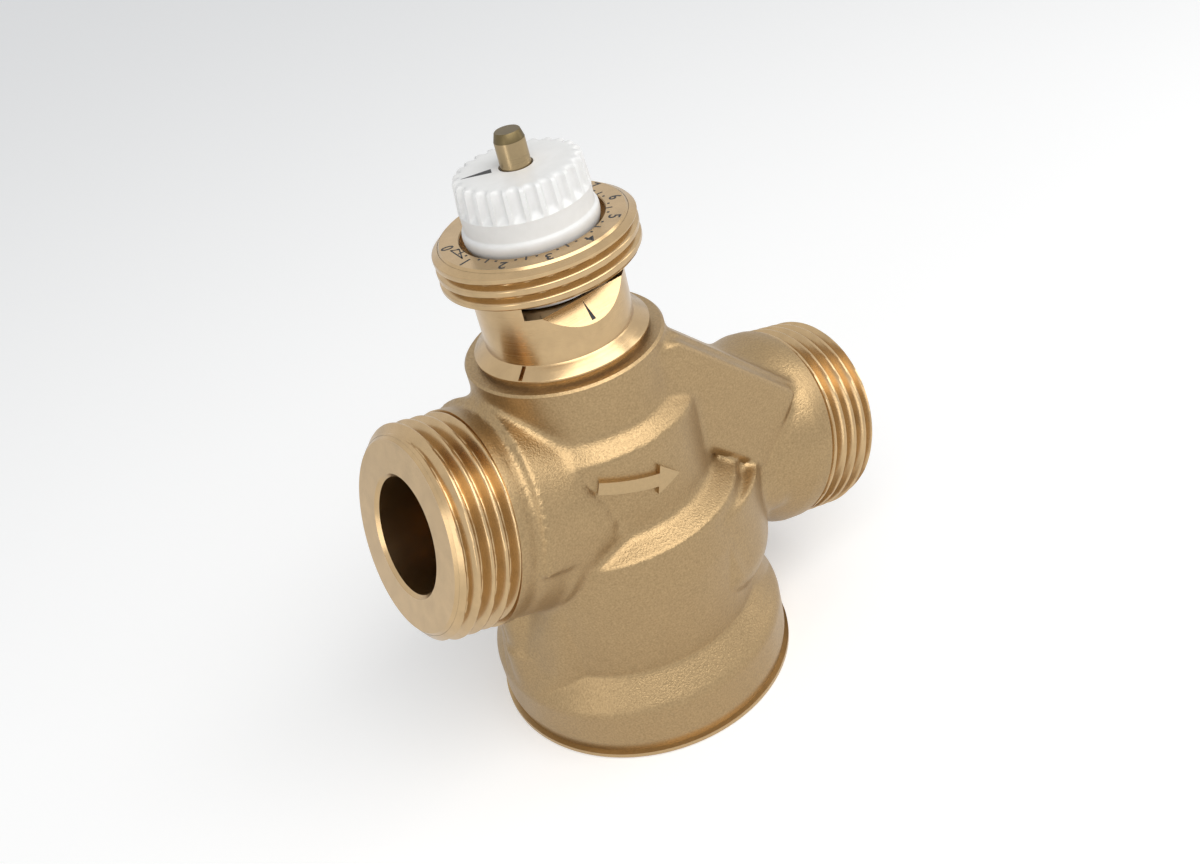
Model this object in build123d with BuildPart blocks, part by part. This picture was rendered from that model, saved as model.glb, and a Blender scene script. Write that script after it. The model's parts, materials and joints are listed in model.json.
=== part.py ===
from build123d import *
from math import cos, radians, sin
import os

os.makedirs("parts", exist_ok=True)

# Driving sizes in millimetres, heights measured up the stem axis from the resting face

# Ports: one straight axis that dips towards the outlet and crosses the stem axis
port_tilt = 16.23
port_cross_z = 38.1
inlet_reach = 35.2
outlet_reach = 46.8
port_thread_r = 16.62
port_thread_depth = 1.48
port_thread_pitch = 2.309
port_face_r = 14.64
port_chamfer = 1.3
inlet_thread_length = 9.6
outlet_thread_length = 11.5
inlet_collar_length = 2.0
outlet_collar_length = 2.6
collar_proud = 0.2
inlet_waist_r = 14.7
inlet_bulge_r = 17.8
inlet_bulge_end = 22.0
inlet_bulge_round = 1.8
outlet_waist_r = 13.8
outlet_cup_run = 7.5
outlet_neck_r = 11.0
outlet_neck_run = 4.0
outlet_root_r = 10.0
port_bore_r = 9.0
pipe_root_r = 11.4
pipe_overlap = 1.0
port_mouth_chamfer = 0.55
outlet_throat_r = 8.2

# Casting, outside
lid_flange = 0.9
skirt_r = 24.9
skirt_z = 8.9
skirt_edge_drop = 2.0
skirt_edge_in = 0.6
flare_height = 5.6
bell_r = 23.0
bell_draft = 1.2
bell_z = 36.4
bell_step = 2.4
band_r = 18.0
band_z = 52.6
shoulder_rise = 2.6
neck_r = 15.3
body_top_z = 64.1
swell_r = 20.6
swell_shift = 5.6
swell_low_z = 14.0
swell_round_r = 4.4
swell_round_z = 8.0
swell_high_z = 34.0
swell_arc_r = 9.6
cast_round = 1.6
boss_half_width = 11.0
boss_slope_sum = 75.0
boss_top_z = 62.4
boss_end_z = 39.9
boss_depth = 14.2
boss_foot = 2.0
boss_round = 1.5
rib_r = 4.8
rib_y = 9.6
rib_start_drop = 4.5
rib_end_x = 25.0
rib_end_drop = 12.2
nut_room_r = 26.8
nut_room_end = 16.2
nut_room_under = 3.0
duct_x = 20.4
duct_r = 1.0
duct_wall = 2.4
duct_reach = 24.6
arrow_azimuth = -100.0
arrow_z = 47.2
arrow_length = 13.2
arrow_width = 2.1
arrow_head = 4.6
arrow_head_run = 3.91
arrow_proud = 0.5
arrow_root = 1.0
neck_bevel = 0.4

# Casting, inside
lid_bore_r = 22.0
film_shoulder_z = 11.0
film_chamber_r = 18.0
film_chamber_top = 21.5
lower_web = 3.5
well_r = 12.5
well_top = 40.6
seat_ring_depth = 1.8
seat_ring_clear = 0.4
seat_ring_r = 9.2
upper_web = 2.4
seat_bore_r = 5.6
seat_lip_r = 7.0
seat_lip = 0.8
upper_room_r = 14.6
upper_room_top = 53.0
inlet_bore_end = 15.5
way_r = 4.8
way_start_x = 21.0
way_end_x = 11.0
way_start_rise = 1.3
way_end_rise = 3.8
outlet_throat_end = 26.0
outlet_throat_cone = 2.0

# Fits
running_gap = 0.05
seal_gap = 0.02
slip_gap = 0.1
cut_over = 1.0

# Diaphragm controller under the flow path
dp_open = 3.6
dp_tube_r = 7.2
dp_tube_wall = 1.2
dp_floor_z = 12.6
dp_flange_r = 12.0
dp_flange = 1.2
dp_window_r = 1.5
dp_window_z = 16.2
dp_floor_step = 0.4
dp_hub = 4.2
dp_hub_cap = 0.6
dp_rim_taper = 0.6
dp_rim_land = 0.4
dp_ring_section = 1.7
rubber_face = 0.7
rubber_inset = 0.3
film = 1.0
film_thin = 0.8
film_side = 0.6
film_fold_in = 1.4
film_fold_out = 2.3
film_fold_top = 0.8
film_fold_rise = 0.9
film_flat = 1.6
film_bead_gap = 0.4
bead_in_r = 18.2
bead_width = 1.3
bead_height = 1.4
clamp_r = 11.0
clamp_height = 1.0
clamp_screw_r = 1.5
clamp_head_r = 3.0
clamp_head = 2.0
clamp_screw_clear = 1.0
dp_wire_r = 0.8
dp_coil_r = 10.6
dp_turns = 3

# Bottom lid
lid_r = 25.3
lid_floor = 4.0
lid_room_r = 17.5
lid_rim_r = 19.7
lid_rim = 2.0
lid_key_circle_r = 14.0
lid_key_hole_r = 2.1
lid_key_depth = 2.4
lid_slot = 2.0
lid_slot_depth = 1.0
lid_chamfer = 0.2
lid_ring_z = 2.0
lid_ring_section = 1.7

# Control valve and stem
stem_stroke = 4.0
stem_r = 1.5
plug_r = 7.6
plug_disc = 1.1
plug_seal = 1.0
plug_seal_in_r = 4.4
plug_washer_r = 4.6
plug_washer = 0.6
plug_nut_r = 2.7
plug_nut = 1.3
plug_seal_inset = 0.2
stem_end = 0.5
pin_r = 2.2
pin_tip_z = 97.3
pin_tip_chamfer = 0.6
pin_foot_z = 71.0
pin_socket = 3.0
stem_washer_r = 3.6
stem_washer = 0.8
return_wire_r = 0.35
return_coil_r = 3.0
return_turns = 5

# Bonnet with the actuator thread
actuator_thread_r = 15.0
actuator_thread_depth = 1.1
actuator_thread_pitch = 2.0
ring_top_z = 83.4
ring_low_z = 77.3
ring_face_r = 13.55
ring_top_bevel = 1.2
ring_low_bevel = 0.6
bonnet_neck_r = 11.3
bonnet_foot_z = 66.5
bonnet_flange_r = 13.36
bonnet_cone_drop = 1.2
bonnet_flange = 0.45
bonnet_groove_r = 12.7
shank_r = 11.6
shank_z = 54.2
shank_chamfer = 0.7
gasket_inset = 0.8
gasket_width = 1.6
dial_recess_r = 10.6
dial_recess = 3.0
spanner_half = 9.1
spanner_run_r = 3.9
spanner_flat_z = 74.3

# Setting spindle, sleeve and dial knob
spindle_r = 5.0
spindle_top_z = 90.0
spindle_neck_r = 4.2
spindle_flange_r = 7.0
spindle_flange = 1.4
spring_room_r = 3.95
spring_room_top = 76.0
spring_seat = 0.4
spindle_foot_r = 3.0
sleeve_r = 9.6
sleeve_wall = 1.4
sleeve_plate = 1.4
sleeve_window = 12.0
sleeve_window_land = 0.4
sleeve_over_seat = 1.0
port_ring_wall = 1.7
ring_window = 13.0
ring_window_land = 0.6
spindle_ring_z = 72.0
spindle_ring_section = 1.5
gland_r = 3.4
gland_length = 5.4
gland_slot = 0.8
gland_slot_depth = 1.0
pin_ring_section = 1.1
knob_top_r = 9.1
knob_top_z = 92.3
knob_band_r = 9.6
knob_flute_z = 87.7
knob_bead_r = 9.95
knob_bead_z = 83.7
knob_bead = 1.1
knob_bead_in = 0.3
knob_top_round = 0.5
knob_skirt_drop = 2.3
knob_wall = 1.5
knob_plate = 2.0
knob_hub_r = 6.0
knob_eye_r = 2.5
knob_flutes = 25
flute_r = 0.95
flute_bite = 0.45

# Places worked out from the sizes above
along = Vector(cos(radians(port_tilt)), 0, -sin(radians(port_tilt)))
across = Vector(sin(radians(port_tilt)), 0, cos(radians(port_tilt)))
port_plane = Plane(origin=(0, 0, port_cross_z), x_dir=along, z_dir=(0, -1, 0))
port_axis = Axis((0, 0, port_cross_z), along)
web_low_z = film_chamber_top
web_high_z = web_low_z + lower_web
seat_ring_top = well_top + seat_ring_depth - seat_ring_clear
seat_ring_low = seat_ring_top - seat_ring_depth
room_floor_z = seat_ring_top + upper_web
seat_z = room_floor_z + seat_lip
plug_low_z = seat_z + stem_stroke
dp_rim_z = seat_ring_low - dp_open
film_low_z = dp_floor_z - film
bead_low_z = film_shoulder_z - bead_height
clamp_low_z = film_low_z - clamp_height
neck_low_z = band_z + shoulder_rise
bonnet_edge_z = bonnet_foot_z - bonnet_cone_drop
bonnet_under_z = bonnet_edge_z - bonnet_flange
recess_z = ring_top_z - dial_recess
spindle_low_z = shank_z - spindle_flange
sleeve_low_z = seat_z + sleeve_over_seat
sleeve_top_z = spindle_low_z
return_low_z = shank_z + spring_seat
knob_skirt_z = knob_bead_z - knob_skirt_drop
gland_z = spindle_top_z - gland_length
gland_seat_z = gland_z - pin_ring_section - 2 * slip_gap


def port_point(run, height):
    """A point of the port plane, run along the axis and height square to it."""
    return Vector(0, 0, port_cross_z) + along * run + across * height


def thread_outline(start, length, crest, depth, pitch):
    """Corners of ring grooves cut into a thread's length, from its start to its end."""
    step = pitch if length > 0 else -pitch
    flat = step / 4
    corners = []
    for turn in range(int(abs(length) / pitch)):
        groove = start + turn * step + flat
        corners += [
            (groove, crest),
            (groove + (step - flat) / 2, crest - depth),
            (groove + step - flat, crest),
        ]
    return corners


def ring_body(inner, outer, low, high):
    """A plain ring about the stem axis."""
    with BuildPart() as ring:
        with BuildSketch(Plane.XY.offset(low)):
            Circle(outer)
            Circle(inner, mode=Mode.SUBTRACT)
        extrude(amount=high - low)
    return ring.part


def seal_ring(middle, section, height):
    """A round seal about the stem axis, with its centre at the given height."""
    with BuildPart() as seal:
        with BuildSketch(Plane.XZ):
            with Locations((middle, height)):
                Circle(section / 2)
        revolve(axis=Axis.Z)
    return seal.part


def coil_spring(coil_r, wire_r, low, high, turns):
    """A compression spring whose end turns rest on flat seats at both heights."""
    rise = high - low - 2 * wire_r
    with BuildPart() as spring:
        with BuildLine():
            path = Helix(pitch=rise / turns, height=rise, radius=coil_r, center=(0, 0, low + wire_r))
        with BuildSketch(Plane(origin=path @ 0, z_dir=path % 0)):
            Circle(wire_r)
        sweep(is_frenet=True)
    return spring.part


# The casting: one piece with both ports, the bell, the neck and the sloping boss
with BuildPart() as flow_arrow:
    arrow_out = Vector(cos(radians(arrow_azimuth)), sin(radians(arrow_azimuth)), 0)
    arrow_side = Vector(-arrow_out.Y, arrow_out.X, 0) * cos(radians(port_tilt))
    arrow_dir = arrow_side + Vector(0, 0, -sin(radians(port_tilt)))
    arrow_mid = arrow_out * (band_r + arrow_proud + arrow_root) + Vector(0, 0, arrow_z)
    with BuildSketch(Plane(origin=arrow_mid, x_dir=arrow_dir, z_dir=arrow_out)):
        with BuildLine():
            head_x = arrow_length / 2 - arrow_head_run
            Polyline(
                (-arrow_length / 2, -arrow_width / 2),
                (head_x, -arrow_width / 2),
                (head_x, -arrow_head / 2),
                (arrow_length / 2, 0),
                (head_x, arrow_head / 2),
                (head_x, arrow_width / 2),
                (-arrow_length / 2, arrow_width / 2),
                close=True,
            )
        make_face()
    extrude(amount=-(arrow_proud + 2 * arrow_root))
    with BuildSketch(Plane.XY.offset(arrow_z - arrow_length)):
        Circle(band_r + arrow_proud)
    extrude(amount=2 * arrow_length, mode=Mode.INTERSECT)

with BuildPart() as cast_shape:
    with BuildSketch(Plane.XZ) as bell_outline:
        with BuildLine():
            Polyline(
                (0, lid_flange),
                (skirt_r - skirt_edge_in, lid_flange),
                (skirt_r, lid_flange + skirt_edge_drop),
                (skirt_r, skirt_z),
                (bell_r, skirt_z + flare_height),
                (bell_r - bell_draft, bell_z),
                (band_r, bell_z + bell_step),
                (band_r, band_z),
                (neck_r, neck_low_z),
                (neck_r, body_top_z),
                (0, body_top_z),
                close=True,
            )
        make_face()
        soft = bell_outline.vertices().filter_by(lambda v: skirt_z <= v.Z <= neck_low_z)
        fillet(soft, cast_round)
    revolve(axis=Axis.Z)

    # The bell reaches out on the inlet side, over the pressure duct
    with BuildSketch(Plane.XY.offset(skirt_z)):
        Circle(bell_r - bell_draft)
        with Locations((-duct_x, 0)):
            Circle(duct_reach - duct_x)
        make_hull()
    extrude(amount=bell_z - skirt_z)

    # Swelling over the outlet chamber, rounded off below
    with BuildSketch(Plane.XZ):
        with BuildLine():
            swell_edge = (swell_shift + swell_r, swell_low_z + swell_round_z)
            swell_foot = (swell_shift + swell_r - swell_round_r, swell_low_z)
            Polyline(
                swell_edge,
                (swell_shift + swell_r, swell_high_z),
                (swell_shift, swell_high_z),
                (swell_shift, swell_low_z),
                swell_foot,
            )
            RadiusArc(swell_foot, swell_edge, -swell_arc_r)
        make_face()
    revolve(axis=Axis((swell_shift, 0, 0), (0, 0, 1)))

    # The inlet passage bulges out of the neck and the band
    with BuildSketch(port_plane) as bulge_outline:
        with BuildLine():
            Polyline(
                (-inlet_bulge_end, 0),
                (-inlet_bulge_end, inlet_bulge_r),
                (0, inlet_bulge_r - cast_round),
                (0, 0),
                close=True,
            )
        make_face()
        fillet(bulge_outline.vertices().sort_by(Axis.Z)[-1:], inlet_bulge_round)
    revolve(axis=port_axis)

    # Room for the union nut to turn under the inlet
    with BuildSketch(Plane(origin=port_point(-nut_room_end, 0), x_dir=(0, 1, 0), z_dir=-along)):
        Circle(nut_room_r)
        with Locations((0, nut_room_under)):
            Rectangle(
                2 * nut_room_r, nut_room_r, align=(Align.CENTER, Align.MIN), mode=Mode.INTERSECT
            )
    extrude(amount=inlet_reach, mode=Mode.SUBTRACT)

    # Wall of the pressure duct under the inlet
    with BuildSketch(Plane.XY.offset(skirt_z)):
        with Locations((-duct_x, 0)):
            Circle(duct_r + duct_wall)
    extrude(amount=port_cross_z - skirt_z)

    # Sloping boss between the neck and the outlet
    with BuildSketch(Plane.XZ) as boss_outline:
        with BuildLine():
            drop = boss_depth * cos(radians(45))
            Polyline(
                (0, boss_top_z),
                (boss_slope_sum - boss_top_z, boss_top_z),
                (boss_slope_sum - boss_end_z, boss_end_z),
                (boss_slope_sum - boss_end_z - drop, boss_end_z - drop),
                (neck_r - boss_foot, port_cross_z),
                (0, port_cross_z),
                close=True,
            )
        make_face()
        fillet(boss_outline.vertices().sort_by(Axis.X)[-2:], boss_round)
    extrude(amount=boss_half_width, both=True)

    # Inlet pipe with its collar
    with BuildSketch(port_plane) as inlet_outline:
        with BuildLine():
            thread_end = inlet_thread_length - inlet_reach
            collar_end = thread_end + inlet_collar_length
            Polyline(
                (-inlet_reach, 0),
                (-inlet_reach, port_face_r),
                (port_chamfer - inlet_reach, port_thread_r),
                *thread_outline(
                    port_chamfer - inlet_reach,
                    inlet_thread_length - port_chamfer,
                    port_thread_r,
                    port_thread_depth,
                    port_thread_pitch,
                ),
                (thread_end, port_thread_r),
                (thread_end, port_thread_r + collar_proud),
                (collar_end, port_thread_r + collar_proud),
                (collar_end + cast_round, inlet_waist_r),
                (-duct_reach / 2, inlet_waist_r),
                (-pipe_overlap, pipe_root_r),
                (-pipe_overlap, 0),
                close=True,
            )
        make_face()
    revolve(axis=port_axis)

    # Outlet pipe with its cup
    with BuildSketch(port_plane) as outlet_outline:
        with BuildLine():
            out_thread_end = outlet_reach - outlet_thread_length
            cup_end = out_thread_end - outlet_collar_length
            Polyline(
                (outlet_reach, 0),
                (outlet_reach, port_face_r),
                (outlet_reach - port_chamfer, port_thread_r),
                *thread_outline(
                    outlet_reach - port_chamfer,
                    port_chamfer - outlet_thread_length,
                    port_thread_r,
                    port_thread_depth,
                    port_thread_pitch,
                ),
                (out_thread_end, port_thread_r),
                (out_thread_end, port_thread_r + collar_proud),
                (cup_end, port_thread_r + collar_proud),
                (cup_end - outlet_cup_run, outlet_waist_r),
                (cup_end - outlet_cup_run - outlet_neck_run, outlet_neck_r),
                (pipe_overlap, outlet_root_r),
                (pipe_overlap, 0),
                close=True,
            )
        make_face()
    revolve(axis=port_axis)

    # Rounded ribs of the outlet passage, one each side
    rib_start = Vector(neck_r - boss_foot, rib_y, port_cross_z - rib_start_drop)
    rib_stop = Vector(rib_end_x, rib_y, port_cross_z - rib_end_drop)
    for side in (-1, 1):
        rib_from = Vector(rib_start.X, side * rib_start.Y, rib_start.Z)
        rib_to = Vector(rib_stop.X, side * rib_stop.Y, rib_stop.Z)
        with BuildSketch(Plane(origin=rib_from, z_dir=rib_to - rib_from)):
            Circle(rib_r)
        extrude(amount=(rib_to - rib_from).length)
        with Locations(rib_to):
            Sphere(rib_r)

with BuildPart() as valve_body:
    add(cast_shape.part)
    add(flow_arrow.part)
    chamfer(valve_body.faces().sort_by(Axis.Z)[-1].edges(), neck_bevel)

    # Bores on the stem axis, from the top
    with BuildSketch(Plane.XY.offset(upper_room_top)):
        Circle(shank_r)
    extrude(amount=body_top_z, mode=Mode.SUBTRACT)
    with BuildSketch(Plane.XY.offset(room_floor_z)):
        Circle(upper_room_r)
        Circle(seat_lip_r, mode=Mode.SUBTRACT)
    extrude(amount=upper_room_top - room_floor_z, mode=Mode.SUBTRACT)
    with BuildSketch(Plane.XY.offset(seat_z)):
        Circle(seat_lip_r)
    extrude(amount=upper_room_top - seat_z, mode=Mode.SUBTRACT)
    with BuildSketch(Plane.XY.offset(well_top)):
        Circle(seat_bore_r)
    extrude(amount=seat_z, mode=Mode.SUBTRACT)

    # Bores on the stem axis, from below
    with BuildSketch(Plane.XY):
        Circle(lid_bore_r)
    extrude(amount=film_shoulder_z, mode=Mode.SUBTRACT)
    with BuildSketch(Plane.XY.offset(film_shoulder_z)):
        Circle(film_chamber_r)
    extrude(amount=film_chamber_top - film_shoulder_z, mode=Mode.SUBTRACT)
    with BuildSketch(Plane.XY.offset(web_low_z)):
        Circle(dp_tube_r + running_gap)
    extrude(amount=lower_web, mode=Mode.SUBTRACT)
    dp_ring_z = web_low_z + lower_web / 2
    with BuildSketch(Plane.XY.offset(dp_ring_z - dp_ring_section / 2 - slip_gap)):
        Circle(dp_tube_r + dp_ring_section + 2 * slip_gap)
    extrude(amount=dp_ring_section + 2 * slip_gap, mode=Mode.SUBTRACT)
    with BuildSketch(Plane.XY.offset(web_high_z)):
        Circle(well_r)
    extrude(amount=well_top - web_high_z, mode=Mode.SUBTRACT)
    with BuildSketch(Plane.XY.offset(well_top)):
        Circle(seat_ring_r)
    extrude(amount=seat_ring_top - well_top, mode=Mode.SUBTRACT)

    # Inlet bore, its mouth and the rising way into the upper room
    with BuildSketch(port_plane):
        with BuildLine():
            Polyline(
                (-inlet_reach, 0),
                (-inlet_reach, port_bore_r + port_mouth_chamfer),
                (port_mouth_chamfer - inlet_reach, port_bore_r),
                (-inlet_bore_end, port_bore_r),
                (-inlet_bore_end, 0),
                close=True,
            )
        make_face()
    revolve(axis=port_axis, mode=Mode.SUBTRACT)
    way_from = Vector(-way_start_x, 0, seat_z + way_start_rise)
    way_to = Vector(-way_end_x, 0, seat_z + way_end_rise)
    with BuildSketch(Plane(origin=way_from, z_dir=way_to - way_from)):
        Circle(way_r)
    extrude(amount=(way_to - way_from).length, mode=Mode.SUBTRACT)

    # Outlet bore from the well to the outlet face
    with BuildSketch(port_plane):
        with BuildLine():
            Polyline(
                (well_r - upper_web, 0),
                (well_r - upper_web, outlet_throat_r),
                (outlet_throat_end, outlet_throat_r),
                (outlet_throat_end + outlet_throat_cone, port_bore_r),
                (outlet_reach - port_mouth_chamfer, port_bore_r),
                (outlet_reach, port_bore_r + port_mouth_chamfer),
                (outlet_reach, 0),
                close=True,
            )
        make_face()
    revolve(axis=port_axis, mode=Mode.SUBTRACT)

    # Pressure duct from the inlet bore down to the lid
    with BuildSketch(Plane.XY.offset(film_shoulder_z - cut_over)):
        with Locations((-duct_x, 0)):
            Circle(duct_r)
    extrude(amount=port_cross_z - film_shoulder_z, mode=Mode.SUBTRACT)
valve_body.part.label = "valve_body"
export_step(valve_body.part, "parts/valve_body.step")

# Bottom lid, screwed in from below, with four blind holes for a pin spanner
with BuildPart() as bottom_lid:
    with BuildSketch(Plane.XY):
        Circle(lid_r)
    extrude(amount=lid_flange)
    with BuildSketch(Plane.XY.offset(lid_flange)):
        Circle(lid_bore_r)
    extrude(amount=bead_low_z - lid_rim - lid_flange)
    with BuildSketch(Plane.XY.offset(bead_low_z - lid_rim)):
        Circle(lid_rim_r)
    extrude(amount=lid_rim)
    with BuildSketch(Plane.XY.offset(lid_floor)):
        Circle(lid_room_r)
    extrude(amount=bead_low_z, mode=Mode.SUBTRACT)
    with BuildSketch(Plane.XY):
        with PolarLocations(lid_key_circle_r, 4, start_angle=45):
            Circle(lid_key_hole_r)
    extrude(amount=lid_key_depth, mode=Mode.SUBTRACT)
    with BuildSketch(Plane.XY.offset(lid_ring_z)):
        Circle(lid_bore_r + cut_over)
        Circle(lid_bore_r - lid_ring_section - slip_gap, mode=Mode.SUBTRACT)
    extrude(amount=lid_ring_section + 2 * slip_gap, mode=Mode.SUBTRACT)
    with BuildSketch(Plane.XY.offset(bead_low_z - lid_slot_depth)):
        Rectangle(2 * lid_r, lid_slot)
        Rectangle(lid_slot, 2 * lid_r)
    extrude(amount=lid_rim, mode=Mode.SUBTRACT)
    chamfer(bottom_lid.faces().sort_by(Axis.Z)[0].outer_wire().edges(), lid_chamfer)
bottom_lid.part.label = "bottom_lid"
export_step(bottom_lid.part, "parts/bottom_lid.step")

lid_ring_mid_z = lid_ring_z + slip_gap + lid_ring_section / 2
lid_o_ring = seal_ring(lid_bore_r - lid_ring_section / 2 - seal_gap, lid_ring_section, lid_ring_mid_z)
lid_o_ring.label = "lid_o_ring"
export_step(lid_o_ring, "parts/lid_o_ring.step")

# Rolling diaphragm: flat in the middle, one convolution, a square bead at its rim
with BuildPart() as diaphragm:
    with BuildSketch(Plane.XZ):
        with BuildLine():
            hang = film_low_z - bead_low_z
            Polyline(
                (clamp_screw_r + slip_gap, film_low_z),
                (dp_flange_r, film_low_z),
                (dp_flange_r + film_fold_in, film_low_z - hang / 2),
                (bead_in_r - film_flat, bead_low_z),
                (bead_in_r + bead_width, bead_low_z),
                (bead_in_r + bead_width, bead_low_z + bead_height),
                (bead_in_r, bead_low_z + bead_height),
                (bead_in_r - film_bead_gap, bead_low_z + film_thin),
                (bead_in_r - film_fold_in, bead_low_z + film_thin),
                (dp_flange_r + film_fold_out, film_low_z - hang / 2 + film_side),
                (dp_flange_r + film_fold_top, film_low_z + film_fold_rise),
                (dp_flange_r, dp_floor_z),
                (clamp_screw_r + slip_gap, dp_floor_z),
                close=True,
            )
        make_face()
    revolve(axis=Axis.Z)
diaphragm.part.label = "diaphragm"
export_step(diaphragm.part, "parts/diaphragm.step")

# Hollow cone of the pressure controller, a tube closed below by its flange
with BuildPart() as dp_cone:
    with BuildSketch(Plane.XZ):
        with BuildLine():
            tube_in_r = dp_tube_r - dp_tube_wall
            floor_top = dp_floor_z + dp_flange + dp_floor_step
            hub_top = dp_floor_z + dp_hub
            Polyline(
                (0, dp_floor_z),
                (dp_flange_r, dp_floor_z),
                (dp_flange_r, dp_floor_z + dp_flange),
                (dp_tube_r, dp_floor_z + dp_flange),
                (dp_tube_r, dp_rim_z - dp_rim_taper),
                (dp_tube_r - dp_rim_land, dp_rim_z),
                (tube_in_r, dp_rim_z),
                (tube_in_r, floor_top),
                (clamp_head_r, floor_top),
                (clamp_head_r, hub_top),
                (0, hub_top),
                close=True,
            )
        make_face()
    revolve(axis=Axis.Z)
    with BuildSketch(Plane.XY.offset(dp_floor_z)):
        Circle(clamp_screw_r)
    extrude(amount=dp_hub - dp_hub_cap, mode=Mode.SUBTRACT)
    for turn in (0, 90):
        with BuildSketch(Plane.YZ.rotated((0, 0, turn))):
            with Locations((0, dp_window_z)):
                Circle(dp_window_r)
        extrude(amount=dp_tube_r + cut_over, both=True, mode=Mode.SUBTRACT)
dp_cone.part.label = "dp_cone"
export_step(dp_cone.part, "parts/dp_cone.step")

clamp_washer = ring_body(clamp_screw_r + slip_gap, clamp_r, clamp_low_z, film_low_z)
clamp_washer.label = "clamp_washer"
export_step(clamp_washer, "parts/clamp_washer.step")

with BuildPart() as clamp_screw:
    with BuildSketch(Plane.XY.offset(clamp_low_z - clamp_head)):
        RegularPolygon(clamp_head_r, 6)
    extrude(amount=clamp_head)
    with BuildSketch(Plane.XY.offset(clamp_low_z)):
        Circle(clamp_screw_r)
    extrude(amount=hub_top - clamp_low_z - clamp_screw_clear)
clamp_screw.part.label = "clamp_screw"
export_step(clamp_screw.part, "parts/clamp_screw.step")

dp_spring = coil_spring(dp_coil_r, dp_wire_r, dp_floor_z + dp_flange, film_chamber_top, dp_turns)
dp_spring.label = "dp_spring"
export_step(dp_spring, "parts/dp_spring.step")

dp_o_ring = seal_ring(dp_tube_r + dp_ring_section / 2 + seal_gap, dp_ring_section, dp_ring_z)
dp_o_ring.label = "dp_o_ring"
export_step(dp_o_ring, "parts/dp_o_ring.step")

# Pressed seat of the pressure controller, a steel ring with a rubber face
dp_seat_ring = ring_body(seat_bore_r, seat_ring_r, seat_ring_low + rubber_face, seat_ring_top)
dp_seat_ring.label = "dp_seat_ring"
export_step(dp_seat_ring, "parts/dp_seat_ring.step")
dp_seat_rubber = ring_body(seat_bore_r, seat_ring_r - rubber_inset, seat_ring_low, seat_ring_low + rubber_face)
dp_seat_rubber.label = "dp_seat_rubber"
export_step(dp_seat_rubber, "parts/dp_seat_rubber.step")

# Fixed port ring on the floor of the upper room, open towards the inlet
port_ring_r = sleeve_r + slip_gap + port_ring_wall
with BuildPart() as port_ring:
    with BuildSketch(Plane.XY.offset(room_floor_z)):
        Circle(port_ring_r)
        Circle(sleeve_r + slip_gap, mode=Mode.SUBTRACT)
    extrude(amount=upper_room_top - room_floor_z - slip_gap)
    with BuildSketch(Plane.YZ.offset(-port_ring_r - cut_over)):
        with Locations((0, (sleeve_low_z + sleeve_top_z - sleeve_plate) / 2)):
            Rectangle(ring_window, sleeve_top_z - sleeve_plate - sleeve_low_z - ring_window_land)
    extrude(amount=port_ring_r, mode=Mode.SUBTRACT)
port_ring.part.label = "port_ring"
export_step(port_ring.part, "parts/port_ring.step")

# Setting sleeve that turns with the dial and uncovers the port ring's window
with BuildPart() as setting_sleeve:
    with BuildSketch(Plane.XY.offset(sleeve_low_z)):
        Circle(sleeve_r)
    extrude(amount=sleeve_top_z - sleeve_low_z)
    with BuildSketch(Plane.XY.offset(sleeve_low_z)):
        Circle(sleeve_r - sleeve_wall)
    extrude(amount=sleeve_top_z - sleeve_plate - sleeve_low_z, mode=Mode.SUBTRACT)
    with BuildSketch(Plane.XY.offset(sleeve_low_z)):
        Circle(spindle_foot_r)
    extrude(amount=sleeve_top_z - sleeve_low_z, mode=Mode.SUBTRACT)
    with BuildSketch(Plane.YZ.offset(-sleeve_r - cut_over)):
        with BuildLine():
            window_top = sleeve_top_z - sleeve_plate - sleeve_window_land
            Polyline(
                (-sleeve_window / 2, sleeve_low_z),
                (sleeve_window / 2, sleeve_low_z),
                (sleeve_window / 2, window_top),
                (-sleeve_window / 2, (sleeve_low_z + window_top) / 2),
                close=True,
            )
        make_face()
    extrude(amount=sleeve_r, mode=Mode.SUBTRACT)
setting_sleeve.part.label = "setting_sleeve"
export_step(setting_sleeve.part, "parts/setting_sleeve.step")

# Setting spindle: a hollow shaft from the sleeve up to the dial knob
with BuildPart() as setting_spindle:
    with BuildSketch(Plane.XZ):
        with BuildLine():
            Polyline(
                (stem_r + running_gap, spindle_low_z - sleeve_plate),
                (spindle_foot_r, spindle_low_z - sleeve_plate),
                (spindle_foot_r, spindle_low_z),
                (spindle_flange_r, spindle_low_z),
                (spindle_flange_r, shank_z),
                (spindle_r, shank_z),
                (spindle_r, knob_skirt_z),
                (spindle_neck_r, knob_skirt_z),
                (spindle_neck_r, spindle_top_z),
                (gland_r, spindle_top_z),
                (gland_r, gland_seat_z),
                (pin_r + running_gap, gland_seat_z),
                (pin_r + running_gap, spring_room_top),
                (spring_room_r, spring_room_top),
                (spring_room_r, return_low_z),
                (stem_r + running_gap, return_low_z),
                close=True,
            )
        make_face()
    revolve(axis=Axis.Z)
setting_spindle.part.label = "setting_spindle"
export_step(setting_spindle.part, "parts/setting_spindle.step")

# Gland screwed into the spindle's top, over the seal on the pin
with BuildPart() as gland:
    with BuildSketch(Plane.XY.offset(gland_z)):
        Circle(gland_r)
        Circle(pin_r + running_gap, mode=Mode.SUBTRACT)
    extrude(amount=spindle_top_z - gland_z)
    with BuildSketch(Plane.XY.offset(spindle_top_z - gland_slot_depth)):
        Rectangle(2 * gland_r, gland_slot)
    extrude(amount=gland_slot_depth, mode=Mode.SUBTRACT)
gland.part.label = "gland"
export_step(gland.part, "parts/gland.step")

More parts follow.
